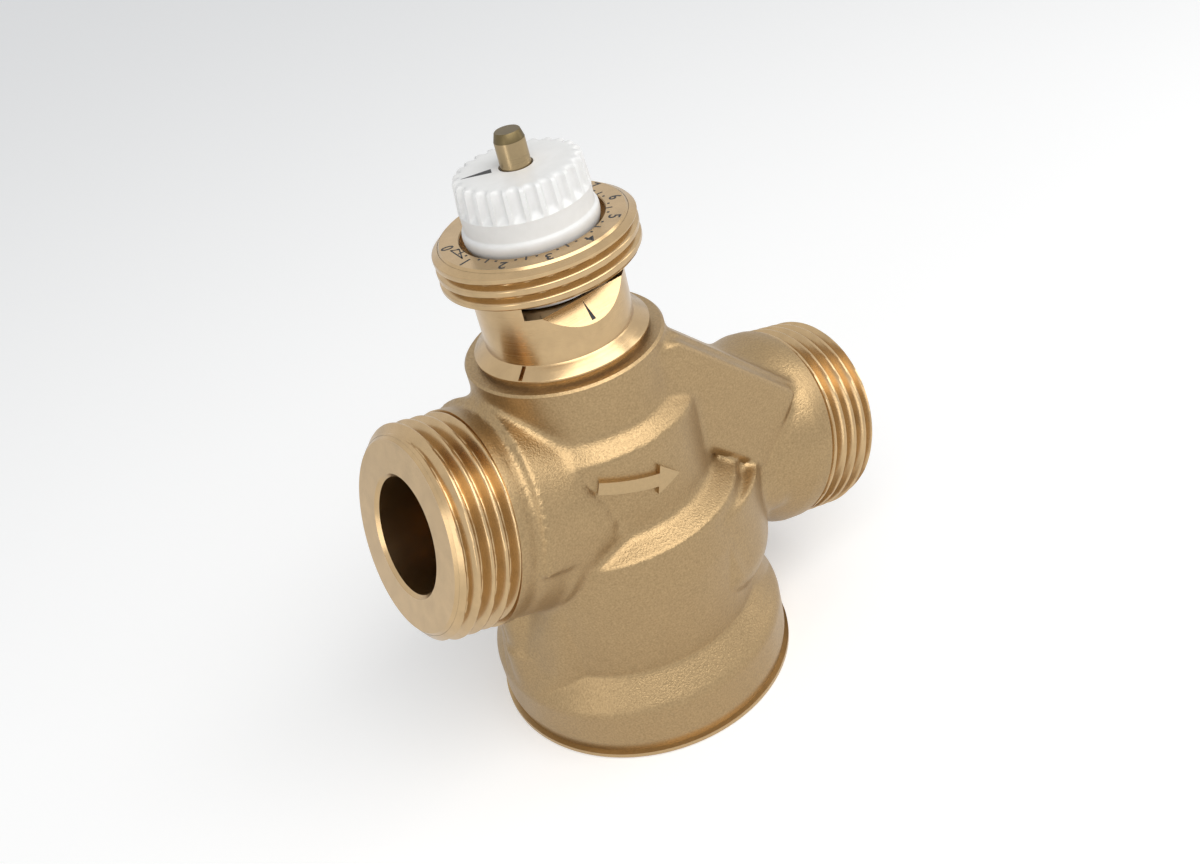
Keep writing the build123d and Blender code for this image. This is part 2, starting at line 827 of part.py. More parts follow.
pin_ring_mid_z = (gland_z + gland_seat_z) / 2
pin_o_ring = seal_ring(pin_r + pin_ring_section / 2 + seal_gap, pin_ring_section, pin_ring_mid_z)
pin_o_ring.label = "pin_o_ring"
export_step(pin_o_ring, "parts/pin_o_ring.step")

# Bonnet: screwed shank, flange, spanner neck and the ring with the actuator thread
spindle_groove_r = spindle_r + spindle_ring_section + slip_gap
with BuildPart() as bonnet:
    with BuildSketch(Plane.XZ) as bonnet_outline:
        with BuildLine():
            bore = spindle_r + running_gap
            Polyline(
                (bore, shank_z),
                (shank_r - shank_chamfer, shank_z),
                (shank_r, shank_z + shank_chamfer),
                (shank_r, body_top_z),
                (bonnet_groove_r, body_top_z),
                (bonnet_groove_r, bonnet_under_z),
                (bonnet_flange_r, bonnet_under_z),
                (bonnet_flange_r, bonnet_edge_z),
                (bonnet_neck_r, bonnet_foot_z),
                (bonnet_neck_r, ring_low_z),
                (ring_face_r, ring_low_z),
                (actuator_thread_r, ring_low_z + ring_low_bevel),
                *[
                    (radius, height)
                    for height, radius in thread_outline(
                        ring_low_z + ring_low_bevel,
                        ring_top_z - ring_top_bevel - ring_low_z - ring_low_bevel,
                        actuator_thread_r,
                        actuator_thread_depth,
                        actuator_thread_pitch,
                    )
                ],
                (actuator_thread_r, ring_top_z - ring_top_bevel),
                (ring_face_r, ring_top_z),
                (dial_recess_r, ring_top_z),
                (dial_recess_r, recess_z),
                (bore, recess_z),
                close=True,
            )
        make_face()
    revolve(axis=Axis.Z)
    with BuildSketch(Plane.XY.offset(spindle_ring_z)):
        Circle(spindle_groove_r)
    extrude(amount=spindle_ring_section + 2 * slip_gap, mode=Mode.SUBTRACT)
    with BuildSketch(Plane.YZ):
        for side in (-1, 1):
            with Locations((side * (spanner_half + spanner_run_r), spanner_flat_z)):
                Circle(spanner_run_r)
            flat_height = ring_low_z - spanner_flat_z
            with Locations((side * (spanner_half + spanner_run_r), spanner_flat_z + flat_height / 2)):
                Rectangle(2 * spanner_run_r, flat_height)
        with Locations((0, ring_low_z)):
            Rectangle(
                4 * actuator_thread_r,
                2 * spanner_run_r,
                align=(Align.CENTER, Align.MIN),
                mode=Mode.SUBTRACT,
            )
    extrude(amount=bonnet_neck_r, both=True, mode=Mode.SUBTRACT)
bonnet.part.label = "bonnet"
export_step(bonnet.part, "parts/bonnet.step")

gasket_out_r = shank_r - gasket_inset
bonnet_gasket = ring_body(gasket_out_r - gasket_width, gasket_out_r, upper_room_top - slip_gap, shank_z)
bonnet_gasket.label = "bonnet_gasket"
export_step(bonnet_gasket, "parts/bonnet_gasket.step")

spindle_ring_mid = spindle_r + spindle_ring_section / 2 + seal_gap
spindle_ring_mid_z = spindle_ring_z + slip_gap + spindle_ring_section / 2
spindle_o_ring = seal_ring(spindle_ring_mid, spindle_ring_section, spindle_ring_mid_z)
spindle_o_ring.label = "spindle_o_ring"
export_step(spindle_o_ring, "parts/spindle_o_ring.step")

# Dial knob: a fluted moulded cap with a rounded bead
with BuildPart() as setting_knob:
    with BuildSketch(Plane.XZ):
        with BuildLine():
            bead_foot = (knob_band_r - knob_bead_in, knob_bead_z)
            bead_head = (knob_band_r, knob_bead_z + knob_bead)
            ThreePointArc(bead_foot, (knob_bead_r, knob_bead_z + knob_bead / 2), bead_head)
            Polyline(
                bead_head,
                (knob_band_r, knob_flute_z),
                (knob_top_r, knob_top_z),
                (0, knob_top_z),
                (0, knob_skirt_z),
                (knob_band_r - knob_bead_in, knob_skirt_z),
                bead_foot,
            )
        make_face()
    revolve(axis=Axis.Z)
    fillet(setting_knob.faces().sort_by(Axis.Z)[-1].edges(), knob_top_round)
    with BuildSketch(Plane.XY.offset(knob_flute_z)):
        with PolarLocations(knob_band_r + flute_r - flute_bite, knob_flutes):
            Circle(flute_r)
    extrude(amount=knob_top_z - knob_flute_z + cut_over, mode=Mode.SUBTRACT)
    with BuildSketch(Plane.XY.offset(knob_skirt_z)):
        Circle(knob_top_r - knob_wall)
        Circle(knob_hub_r, mode=Mode.SUBTRACT)
    extrude(amount=knob_top_z - knob_plate - knob_skirt_z, mode=Mode.SUBTRACT)
    with BuildSketch(Plane.XY.offset(knob_skirt_z)):
        Circle(spindle_neck_r)
    extrude(amount=spindle_top_z - knob_skirt_z, mode=Mode.SUBTRACT)
    with BuildSketch(Plane.XY.offset(spindle_top_z)):
        Circle(knob_eye_r)
    extrude(amount=knob_top_z, mode=Mode.SUBTRACT)
setting_knob.part.label = "setting_knob"
export_step(setting_knob.part, "parts/setting_knob.step")

# Pin that the actuator presses, with a socket for the stem
with BuildPart() as actuating_pin:
    with BuildSketch(Plane.XY.offset(pin_foot_z)):
        Circle(pin_r)
    extrude(amount=pin_tip_z - pin_foot_z)
    chamfer(actuating_pin.faces().sort_by(Axis.Z)[-1].edges(), pin_tip_chamfer)
    with BuildSketch(Plane.XY.offset(pin_foot_z)):
        Circle(stem_r)
    extrude(amount=pin_socket, mode=Mode.SUBTRACT)
actuating_pin.part.label = "actuating_pin"
export_step(actuating_pin.part, "parts/actuating_pin.step")

plug_disc_z = plug_low_z + plug_seal
nut_low_z = plug_low_z - plug_washer - plug_nut
with BuildPart() as stem:
    with BuildSketch(Plane.XY.offset(nut_low_z - stem_end)):
        Circle(stem_r)
    extrude(amount=pin_foot_z + pin_socket - nut_low_z + stem_end)
stem.part.label = "stem"
export_step(stem.part, "parts/stem.step")

stem_washer_part = ring_body(stem_r, stem_washer_r, pin_foot_z - stem_washer, pin_foot_z)
stem_washer_part.label = "spring_washer"
export_step(stem_washer_part, "parts/spring_washer.step")

return_spring = coil_spring(
    return_coil_r, return_wire_r, return_low_z, pin_foot_z - stem_washer, return_turns
)
return_spring.label = "return_spring"
export_step(return_spring, "parts/return_spring.step")

# Control plug with its rubber face, washer and nut
with BuildPart() as control_plug:
    with BuildSketch(Plane.XY.offset(plug_disc_z)):
        Circle(plug_r)
    extrude(amount=plug_disc)
    with BuildSketch(Plane.XY.offset(plug_low_z)):
        Circle(plug_seal_in_r - slip_gap)
    extrude(amount=plug_seal)
    with BuildSketch(Plane.XY.offset(plug_low_z)):
        Circle(stem_r)
    extrude(amount=plug_seal + plug_disc, mode=Mode.SUBTRACT)
control_plug.part.label = "control_plug"
export_step(control_plug.part, "parts/control_plug.step")

plug_face = ring_body(plug_seal_in_r - slip_gap, plug_r - plug_seal_inset, plug_low_z, plug_disc_z)
plug_face.label = "plug_seal"
export_step(plug_face, "parts/plug_seal.step")

plug_washer_part = ring_body(stem_r, plug_washer_r, plug_low_z - plug_washer, plug_low_z)
plug_washer_part.label = "plug_washer"
export_step(plug_washer_part, "parts/plug_washer.step")

with BuildPart() as plug_nut_part:
    with BuildSketch(Plane.XY.offset(nut_low_z)):
        RegularPolygon(plug_nut_r, 6)
        Circle(stem_r, mode=Mode.SUBTRACT)
    extrude(amount=plug_nut)
plug_nut_part.part.label = "plug_nut"
export_step(plug_nut_part.part, "parts/plug_nut.step")
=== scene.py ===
import bpy
import bmesh
import json
import math
import numpy as np
from mathutils import Matrix, Vector


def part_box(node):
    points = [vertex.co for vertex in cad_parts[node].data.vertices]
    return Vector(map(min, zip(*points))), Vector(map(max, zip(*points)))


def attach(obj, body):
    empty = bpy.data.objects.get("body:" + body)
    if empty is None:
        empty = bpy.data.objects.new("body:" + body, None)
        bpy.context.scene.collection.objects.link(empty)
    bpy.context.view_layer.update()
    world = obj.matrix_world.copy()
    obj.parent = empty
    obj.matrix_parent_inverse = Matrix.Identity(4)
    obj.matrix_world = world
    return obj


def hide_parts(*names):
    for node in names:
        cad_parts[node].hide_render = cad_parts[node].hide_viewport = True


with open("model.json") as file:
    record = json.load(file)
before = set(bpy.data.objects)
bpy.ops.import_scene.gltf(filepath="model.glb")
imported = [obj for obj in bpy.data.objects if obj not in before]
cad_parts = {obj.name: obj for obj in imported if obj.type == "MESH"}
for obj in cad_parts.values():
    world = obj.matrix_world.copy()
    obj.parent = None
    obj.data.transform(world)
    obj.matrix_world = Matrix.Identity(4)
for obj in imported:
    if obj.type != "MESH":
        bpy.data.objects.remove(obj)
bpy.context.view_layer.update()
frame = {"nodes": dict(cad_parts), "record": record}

nodes = frame["nodes"]

# Sizes in millimetres, on the stem axis, as the frame has them
MM = 0.001
PORT_TILT = math.radians(16.23)
PORT_CROSS_Z = 38.1
INLET_REACH = 35.2
OUTLET_REACH = 46.8
THREAD_CREST_R = 16.62
THREAD_ROOT_R = 15.15
THREAD_PITCH = 2.309
COLLAR_R = 16.82
PORT_BORE_R = 9.0
ALONG = Vector((math.cos(PORT_TILT), 0, -math.sin(PORT_TILT)))
ACROSS = Vector((math.sin(PORT_TILT), 0, math.cos(PORT_TILT)))


def port_point(run, height=0.0, side=0.0):
    """A point of the pipe's own frame: run along it, height square to it, side to the back."""
    return Vector((0, side, PORT_CROSS_Z)) + ALONG * run + ACROSS * height


def polar(radius, azimuth, z):
    angle = math.radians(azimuth)
    return Vector((radius * math.cos(angle), radius * math.sin(angle), z))


# Camera, from the pipe's ends, the thread and the round edges in the photograph
CAMERA_AZ = -0.4989375766
CAMERA_EL = 0.5812930011
CAMERA_ROLL = -0.2581331770
CAMERA_DISTANCE = 223.555
SENSOR_WIDTH = 36.0
CAMERA_SIDE = -8.1466
CAMERA_UP = 37.8588
FOCAL_PIXELS = 1261.383
PHOTO_WIDTH = 1200


def place_camera():
    back = Vector((
        math.sin(CAMERA_AZ) * math.cos(CAMERA_EL),
        -math.cos(CAMERA_AZ) * math.cos(CAMERA_EL),
        math.sin(CAMERA_EL),
    ))
    level = (-back).cross(Vector((0, 0, 1))).normalized()
    rise = level.cross(-back)
    right = math.cos(CAMERA_ROLL) * level + math.sin(CAMERA_ROLL) * rise
    top = -math.sin(CAMERA_ROLL) * level + math.cos(CAMERA_ROLL) * rise
    eye = back * CAMERA_DISTANCE + right * CAMERA_SIDE + top * CAMERA_UP
    data = bpy.data.cameras.new("camera")
    data.sensor_width = SENSOR_WIDTH
    data.lens = data.sensor_width * FOCAL_PIXELS / PHOTO_WIDTH
    data.clip_start = 0.01
    data.clip_end = 20.0
    camera = bpy.data.objects.new("camera", data)
    turn = Matrix((right, top, back)).transposed().to_4x4()
    camera.matrix_world = Matrix.Translation(eye * MM) @ turn
    bpy.context.scene.collection.objects.link(camera)
    bpy.context.scene.camera = camera


# Materials

def fresh_material(name):
    material = bpy.data.materials.new(name)
    material.use_nodes = True
    tree = material.node_tree
    tree.nodes.clear()
    out = tree.nodes.new("ShaderNodeOutputMaterial")
    shader = tree.nodes.new("ShaderNodeBsdfPrincipled")
    tree.links.new(shader.outputs["BSDF"], out.inputs["Surface"])
    return material, tree, shader


def object_place(tree, scale=(1, 1, 1), turn=(0, 0, 0)):
    """Object coordinates in millimetres, stretched and turned for a pattern."""
    place = tree.nodes.new("ShaderNodeTexCoord")
    mapping = tree.nodes.new("ShaderNodeMapping")
    mapping.inputs["Scale"].default_value = [v / MM for v in scale]
    mapping.inputs["Rotation"].default_value = turn
    tree.links.new(place.outputs["Object"], mapping.inputs["Vector"])
    return mapping.outputs["Vector"]


def noise(tree, place, scale, detail=3.0, rough=0.6):
    node = tree.nodes.new("ShaderNodeTexNoise")
    node.inputs["Scale"].default_value = scale
    node.inputs["Detail"].default_value = detail
    node.inputs["Roughness"].default_value = rough
    tree.links.new(place, node.inputs["Vector"])
    return node.outputs["Fac"]


def tone(tree, value, stops):
    ramp = tree.nodes.new("ShaderNodeValToRGB")
    marks = ramp.color_ramp.elements
    while len(marks) < len(stops):
        marks.new(0.5)
    for mark, (position, colour) in zip(marks, stops):
        mark.position = position
        mark.color = (*colour, 1.0)
    tree.links.new(value, ramp.inputs["Fac"])
    return ramp.outputs["Color"]


NOISE_LOW = 0.3
NOISE_HIGH = 0.7


def spread(tree, value, low, high):
    """Lays the noise's usual reach over the values from low to high."""
    node = tree.nodes.new("ShaderNodeMapRange")
    node.inputs["From Min"].default_value = NOISE_LOW
    node.inputs["From Max"].default_value = NOISE_HIGH
    node.inputs["To Min"].default_value = low
    node.inputs["To Max"].default_value = high
    tree.links.new(value, node.inputs["Value"])
    return node.outputs["Result"]


def relief(tree, shader, height, strength, depth_mm):
    bump = tree.nodes.new("ShaderNodeBump")
    bump.inputs["Strength"].default_value = strength
    bump.inputs["Distance"].default_value = depth_mm * MM
    tree.links.new(height, bump.inputs["Height"])
    tree.links.new(bump.outputs["Normal"], shader.inputs["Normal"])


def blasted_brass():
    """Hot pressed brass after shot blasting: tan metal, its grain strongest on sloping faces."""
    material, tree, shader = fresh_material("blasted_brass")
    place = object_place(tree)
    grain = noise(tree, place, 3.3, 2.0, 0.55)
    cloud = noise(tree, place, 0.16, 2.0, 0.5)
    colour = tone(tree, grain, [(0.25, (0.31, 0.215, 0.110)), (0.75, (0.45, 0.315, 0.165))])
    tree.links.new(colour, shader.inputs["Base Color"])
    tree.links.new(spread(tree, cloud, 0.36, 0.44), shader.inputs["Roughness"])
    shader.inputs["Metallic"].default_value = 0.95
    coarse = tree.nodes.new("ShaderNodeAttribute")
    coarse.attribute_name = "coarse"
    height = tree.nodes.new("ShaderNodeMath")
    height.operation = "MULTIPLY"
    tree.links.new(grain, height.inputs[0])
    tree.links.new(coarse.outputs["Fac"], height.inputs[1])
    relief(tree, shader, height.outputs[0], 0.8, 0.10)
    return material


TURNED_TONE = (0.56, 0.395, 0.215)
SHADE = 0.86


def turned_brass(name, turn=(0, 0, 0), base=TURNED_TONE, rough=(0.20, 0.28), mark_depth=0.01):
    """Brass from the lathe: tool marks run round the axis that the turn lays on Z."""
    material, tree, shader = fresh_material(name)
    place = object_place(tree, (0.02, 0.02, 6.0), turn)
    marks = noise(tree, place, 1.0, 2.0, 0.6)
    blotch = noise(tree, object_place(tree), 0.35, 3.0, 0.6)
    dark = tuple(SHADE * c for c in base)
    tree.links.new(tone(tree, blotch, [(NOISE_LOW, dark), (NOISE_HIGH, base)]), shader.inputs["Base Color"])
    tree.links.new(spread(tree, marks, *rough), shader.inputs["Roughness"])
    shader.inputs["Metallic"].default_value = 1.0
    relief(tree, shader, marks, 0.05, mark_depth)
    return material


def moulded_white():
    material, tree, shader = fresh_material("moulded_white")
    place = object_place(tree)
    cloud = noise(tree, place, 0.5, 2.0, 0.5)
    skin = noise(tree, place, 9.0, 2.0, 0.5)
    colour = tone(tree, cloud, [(NOISE_LOW, (0.76, 0.76, 0.75)), (NOISE_HIGH, (0.80, 0.80, 0.795))])
    tree.links.new(colour, shader.inputs["Base Color"])
    tree.links.new(spread(tree, cloud, 0.36, 0.44), shader.inputs["Roughness"])
    shader.inputs["Subsurface Weight"].default_value = 0.08
    shader.inputs["Subsurface Radius"].default_value = (0.001, 0.001, 0.001)
    relief(tree, shader, skin, 0.08, 0.02)
    return material


def plain_finish(name, low, high, rough, metallic, grain_scale, depth_mm):
    material, tree, shader = fresh_material(name)
    place = object_place(tree)
    grain = noise(tree, place, grain_scale, 3.0, 0.6)
    tree.links.new(tone(tree, grain, [(NOISE_LOW, low), (NOISE_HIGH, high)]), shader.inputs["Base Color"])
    tree.links.new(spread(tree, grain, *rough), shader.inputs["Roughness"])
    shader.inputs["Metallic"].default_value = metallic
    relief(tree, shader, grain, 0.3, depth_mm)
    return material


cast_metal = blasted_brass()
stem_turned = turned_brass("turned_brass_stem")
port_turned = turned_brass(
    "turned_brass_port", (0, -PORT_TILT - math.pi / 2, 0), rough=(0.24, 0.27), mark_depth=0.002)
pin_brass = turned_brass("pin_brass", base=(0.44, 0.33, 0.185), rough=(0.26, 0.36))
pin_tip_brass = turned_brass("pin_tip_brass", base=(0.17, 0.13, 0.065), rough=(0.38, 0.46))
dressed_brass = plain_finish(
    "dressed_brass", (0.44, 0.315, 0.170), (0.49, 0.350, 0.190), (0.34, 0.40), 1.0, 2.5, 0.006)
white_plastic = moulded_white()
print_black = plain_finish(
    "print_black", (0.010, 0.010, 0.011), (0.020, 0.020, 0.022), (0.45, 0.6), 0.0, 4.0, 0.01)
bright_steel = plain_finish(
    "bright_steel", (0.52, 0.53, 0.54), (0.62, 0.63, 0.64), (0.22, 0.34), 1.0, 1.5, 0.01)
soft_rubber = plain_finish(
    "soft_rubber", (0.022, 0.022, 0.023), (0.040, 0.040, 0.041), (0.6, 0.75), 0.0, 3.0, 0.02)


# Mesh helpers

def add_object(name, mesh, body, materials):
    piece = bpy.data.objects.new(name, mesh)
    bpy.context.scene.collection.objects.link(piece)
    # Clearing the materials sets each face back to the first one, so the indices are kept
    chosen = np.empty(len(mesh.polygons), dtype=np.int32)
    mesh.polygons.foreach_get("material_index", chosen)
    mesh.materials.clear()
    for material in materials:
        mesh.materials.append(material)
    mesh.polygons.foreach_set("material_index", np.minimum(chosen, len(materials) - 1))
    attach(piece, body)
    return piece


def mesh_from(name, points, faces):
    mesh = bpy.data.meshes.new(name)
    mesh.from_pydata([tuple(Vector(p) * MM) for p in points], [], faces)
    mesh.validate()
    return mesh


MERGE = 1e-6
BOX_FACES = [(3, 2, 1, 0), (4, 5, 6, 7), (0, 1, 5, 4), (1, 2, 6, 5), (2, 3, 7, 6), (3, 0, 4, 7)]


def prism_faces(count):
    """Sides and both ends of a prism whose first ring of points is under the second."""
    sides = [(i, (i + 1) % count, count + (i + 1) % count, count + i) for i in range(count)]
    return [*sides, tuple(reversed(range(count))), tuple(range(count, 2 * count))]


def tidy_mesh(mesh, angle=32.0):
    """Joins double points, turns the faces outward and marks edges over the angle as sharp."""
    shape = bmesh.new()
    shape.from_mesh(mesh)
    bmesh.ops.remove_doubles(shape, verts=shape.verts, dist=MERGE)
    bmesh.ops.recalc_face_normals(shape, faces=shape.faces)
    for face in shape.faces:
        face.smooth = True
    for edge in shape.edges:
        edge.smooth = edge.is_manifold and edge.calc_face_angle(0) < math.radians(angle)
    shape.to_mesh(mesh)
    shape.free()
    return mesh


def turned_solid(name, outline, steps=128, axis="stem"):
    """A closed ring or disc turned from (radius, place) corners about the stem or the pipe."""
    points, faces = [], []
    count = len(outline)
    for step in range(steps):
        angle = 2 * math.pi * step / steps
        for radius, place in outline:
            x, y = radius * math.cos(angle), radius * math.sin(angle)
            points.append(Vector((x, y, place)) if axis == "stem" else port_point(place, x, y))
    for step in range(steps):
        here, there = step * count, (step + 1) % steps * count
        for i in range(count):
            j = (i + 1) % count
            faces.append((here + i, here + j, there + j, there + i))
    return tidy_mesh(mesh_from(name, points, faces))


GRAIN_ON_WALLS = 0.35
WALL_TILT = 0.2
SLOPE_TILT = 0.6


def note_coarseness(mesh):
    """Writes how strongly the blasting shows: full on level and sloping faces, a third on walls."""
    normals = np.empty(len(mesh.vertices) * 3)
    mesh.vertex_normals.foreach_get("vector", normals)
    tilt = np.abs(normals.reshape(-1, 3)[:, 2])
    share = GRAIN_ON_WALLS + (1 - GRAIN_ON_WALLS) * np.clip((tilt - WALL_TILT) / (SLOPE_TILT - WALL_TILT), 0, 1)
    mesh.attributes.new("coarse", "FLOAT", "POINT").data.foreach_set("value", share)


def joined(name, meshes):
    shape = bmesh.new()
    for mesh in meshes:
        shape.from_mesh(mesh)
    mesh = bpy.data.meshes.new(name)
    shape.to_mesh(mesh)
    shape.free()
    return mesh


def baked(piece):
    """The piece with its modifiers as one plain mesh."""
    graph = bpy.context.evaluated_depsgraph_get()
    mesh = bpy.data.meshes.new_from_object(piece.evaluated_get(graph))
    piece.modifiers.clear()
    return mesh


def loose_object(name, mesh):
    piece = bpy.data.objects.new(name, mesh)
    bpy.context.scene.collection.objects.link(piece)
    return piece


# Geometry node trees

class ShapeTree:
    """A geometry node group with named inputs and short calls for its arithmetic."""

    def __init__(self, name):
        self.group = bpy.data.node_groups.new(name, "GeometryNodeTree")
        self.group.interface.new_socket("Geometry", in_out="OUTPUT", socket_type="NodeSocketGeometry")
        self.inlet = self.group.nodes.new("NodeGroupInput")
        self.outlet = self.group.nodes.new("NodeGroupOutput")
        self.keys = {}

    def size(self, name, kind="NodeSocketFloat"):
        socket = self.group.interface.new_socket(name, in_out="INPUT", socket_type=kind)
        self.keys[name] = socket.identifier
        return self.inlet.outputs[name]

    def node(self, kind, **links):
        node = self.group.nodes.new(kind)
        for name, source in links.items():
            self.feed(node.inputs[name.replace("_", " ")], source)
        return node

    def feed(self, socket, source):
        if isinstance(source, bpy.types.NodeSocket):
            self.group.links.new(source, socket)
        else:
            socket.default_value = source

    def math(self, operation, *values):
        node = self.group.nodes.new("ShaderNodeMath")
        node.operation = operation
        for socket, value in zip(node.inputs, values):
            self.feed(socket, value)
        return node.outputs[0]

    def finish(self, geometry, material):
        real = self.node("GeometryNodeRealizeInstances", Geometry=geometry)
        paint = self.node("GeometryNodeSetMaterial", Geometry=real.outputs[0])
        paint.inputs["Material"].default_value = material
        self.group.links.new(paint.outputs[0], self.outlet.inputs[0])

    def build(self, name, **sizes):
        """Runs the tree on an empty mesh and gives the mesh that it makes, in metres."""
        carrier = loose_object(name, bpy.data.meshes.new(name + "_start"))
        modifier = carrier.modifiers.new("shape", "NODES")
        modifier.node_group = self.group
        for key, value in sizes.items():
            modifier[self.keys[key.replace("_", " ")]] = value
        mesh = baked(carrier)
        bpy.data.objects.remove(carrier)
        # The tree's grids start with an empty material slot before the one that it sets
        mesh.polygons.foreach_set("material_index", np.zeros(len(mesh.polygons), dtype=np.int32))
        mesh.name = name
        return mesh


def sheet_round(tree, around, along, length):
    """A grid to bend into a tube: gives its mesh, share of the turn, turn angle and height."""
    grid = tree.node("GeometryNodeMeshGrid")
    tree.feed(grid.inputs["Size X"], 1.0)
    tree.feed(grid.inputs["Size Y"], 1.0)
    tree.feed(grid.inputs["Vertices X"], around)
    tree.feed(grid.inputs["Vertices Y"], along)
    place = tree.node("GeometryNodeInputPosition")
    apart = tree.node("ShaderNodeSeparateXYZ")
    tree.feed(apart.inputs[0], place.outputs[0])
    share = tree.math("ADD", apart.outputs["X"], 0.5)
    angle = tree.math("MULTIPLY", share, 2 * math.pi)
    height = tree.math("MULTIPLY", tree.math("ADD", apart.outputs["Y"], 0.5), length)
    return grid.outputs["Mesh"], share, angle, height


SEAM_MERGE = 1e-7
TURNS_AHEAD = 50.0


def bend_round(tree, grid, angle, radius, height):
    spot = tree.node("ShaderNodeCombineXYZ")
    tree.feed(spot.inputs["X"], tree.math("MULTIPLY", radius, tree.math("COSINE", angle)))
    tree.feed(spot.inputs["Y"], tree.math("MULTIPLY", radius, tree.math("SINE", angle)))
    tree.feed(spot.inputs["Z"], height)
    moved = tree.node("GeometryNodeSetPosition", Geometry=grid)
    tree.feed(moved.inputs["Position"], spot.outputs[0])
    closed = tree.node("GeometryNodeMergeByDistance", Geometry=moved.outputs[0])
    tree.feed(closed.inputs["Distance"], SEAM_MERGE)
    return closed.outputs[0]


def screw_tree(material):
    """A right-hand thread: the radius follows a rounded tooth that climbs one pitch a turn."""
    tree = ShapeTree("screw_thread")
    length = tree.size("Length")
    pitch = tree.size("Pitch")
    root = tree.size("Root radius")
    crest = tree.size("Crest radius")
    start = tree.size("Start")
    lead_low = tree.size("Low lead in")
    lead_high = tree.size("High lead in")
    crest_share = tree.size("Crest share")
    root_share = tree.size("Root share")
    easing = tree.size("Easing")
    around = tree.size("Around", "NodeSocketInt")
    along = tree.size("Along", "NodeSocketInt")
    grid, share, angle, height = sheet_round(tree, around, along, length)
    turns = tree.math("SUBTRACT", tree.math("DIVIDE", height, pitch), share)
    # Whole turns are added so that the fraction is never taken of a negative value
    phase = tree.math("FRACT", tree.math("ADD", tree.math("ADD", turns, start), TURNS_AHEAD))
    from_mid = tree.math("ABSOLUTE", tree.math("SUBTRACT", tree.math("MULTIPLY", phase, 2.0), 1.0))
    ridge = tree.math("SUBTRACT", 1.0, from_mid)
    flank_share = tree.math("SUBTRACT", tree.math("SUBTRACT", 1.0, crest_share), root_share)
    flank = tree.math("DIVIDE", tree.math("SUBTRACT", ridge, root_share), flank_share)
    tooth = tree.math("SMOOTH_MAX", tree.math("SMOOTH_MIN", flank, 1.0, easing), 0.0, easing)
    depth = tree.math("SUBTRACT", crest, root)
    left = tree.math("SUBTRACT", length, height)
    low_room = tree.math("MULTIPLY", tree.math("DIVIDE", height, lead_low), depth)
    high_room = tree.math("MULTIPLY", tree.math("DIVIDE", left, lead_high), depth)
    full = tree.math("MULTIPLY", tooth, depth)
    capped = tree.math("MINIMUM", tree.math("MINIMUM", full, low_room), high_room)
    radius = tree.math("ADD", root, capped)
    tree.finish(bend_round(tree, grid, angle, radius, height), material)
    return tree


WALL_ROWS = 0.92
SCOOP_POWER = 0.6


def flute_tree(material):
    """The knob's grip: round flutes that run out over a short lip at their lower end."""
    tree = ShapeTree("fluted_grip")
    height_all = tree.size("Height")
    low_r = tree.size("Low radius")
    high_r = tree.size("High radius")
    depth = tree.size("Flute depth")
    count = tree.size("Flutes")
    offset = tree.size("Start")
    run_out = tree.size("Run out")
    share_rib = tree.size("Rib share")
    rounding = tree.size("Edge rounding")
    eye_r = tree.size("Eye radius")
    around = tree.size("Around", "NodeSocketInt")
    along = tree.size("Along", "NodeSocketInt")
    grid, share, angle, row = sheet_round(tree, around, along, 1.0)
    # The first rows climb the wall, the last ones close the top towards the eye
    height = tree.math("MULTIPLY", tree.math("MINIMUM", tree.math("DIVIDE", row, WALL_ROWS), 1.0), height_all)
    past_wall = tree.math("MAXIMUM", tree.math("SUBTRACT", row, WALL_ROWS), 0.0)
    inward = tree.math("DIVIDE", past_wall, 1.0 - WALL_ROWS)
    phase = tree.math("FRACT", tree.math("ADD", tree.math("MULTIPLY", share, count), offset))
    from_mid = tree.math("ABSOLUTE", tree.math("SUBTRACT", tree.math("MULTIPLY", phase, 2.0), 1.0))
    across = tree.math("MINIMUM", tree.math("DIVIDE", from_mid, tree.math("SUBTRACT", 1.0, share_rib)), 1.0)
    scoop = tree.math("POWER", tree.math("SUBTRACT", 1.0, tree.math("MULTIPLY", across, across)), SCOOP_POWER)
    rise = tree.math("MINIMUM", tree.math("DIVIDE", height, run_out), 1.0)
    eased = tree.math("SINE", tree.math("MULTIPLY", rise, math.pi / 2))
    bite = tree.math("MULTIPLY", tree.math("MULTIPLY", scoop, eased), depth)
    taper = tree.math("DIVIDE", height, height_all)
    wall = tree.math("ADD", low_r, tree.math("MULTIPLY", taper, tree.math("SUBTRACT", high_r, low_r)))
    left = tree.math("SUBTRACT", height_all, height)
    missing = tree.math("MAXIMUM", tree.math("SUBTRACT", rounding, left), 0.0)
    rounding_squared = tree.math("MULTIPLY", rounding, rounding)
    missing_squared = tree.math("MULTIPLY", missing, missing)
    arc_squared = tree.math("MAXIMUM", tree.math("SUBTRACT", rounding_squared, missing_squared), 0.0)
    drop = tree.math("SUBTRACT", rounding, tree.math("SQRT", arc_squared))
    edge = tree.math("SUBTRACT", tree.math("SUBTRACT", wall, bite), drop)
    radius = tree.math("ADD", edge, tree.math("MULTIPLY", inward, tree.math("SUBTRACT", eye_r, edge)))
    tree.finish(bend_round(tree, grid, angle, radius, height), material)
    return tree


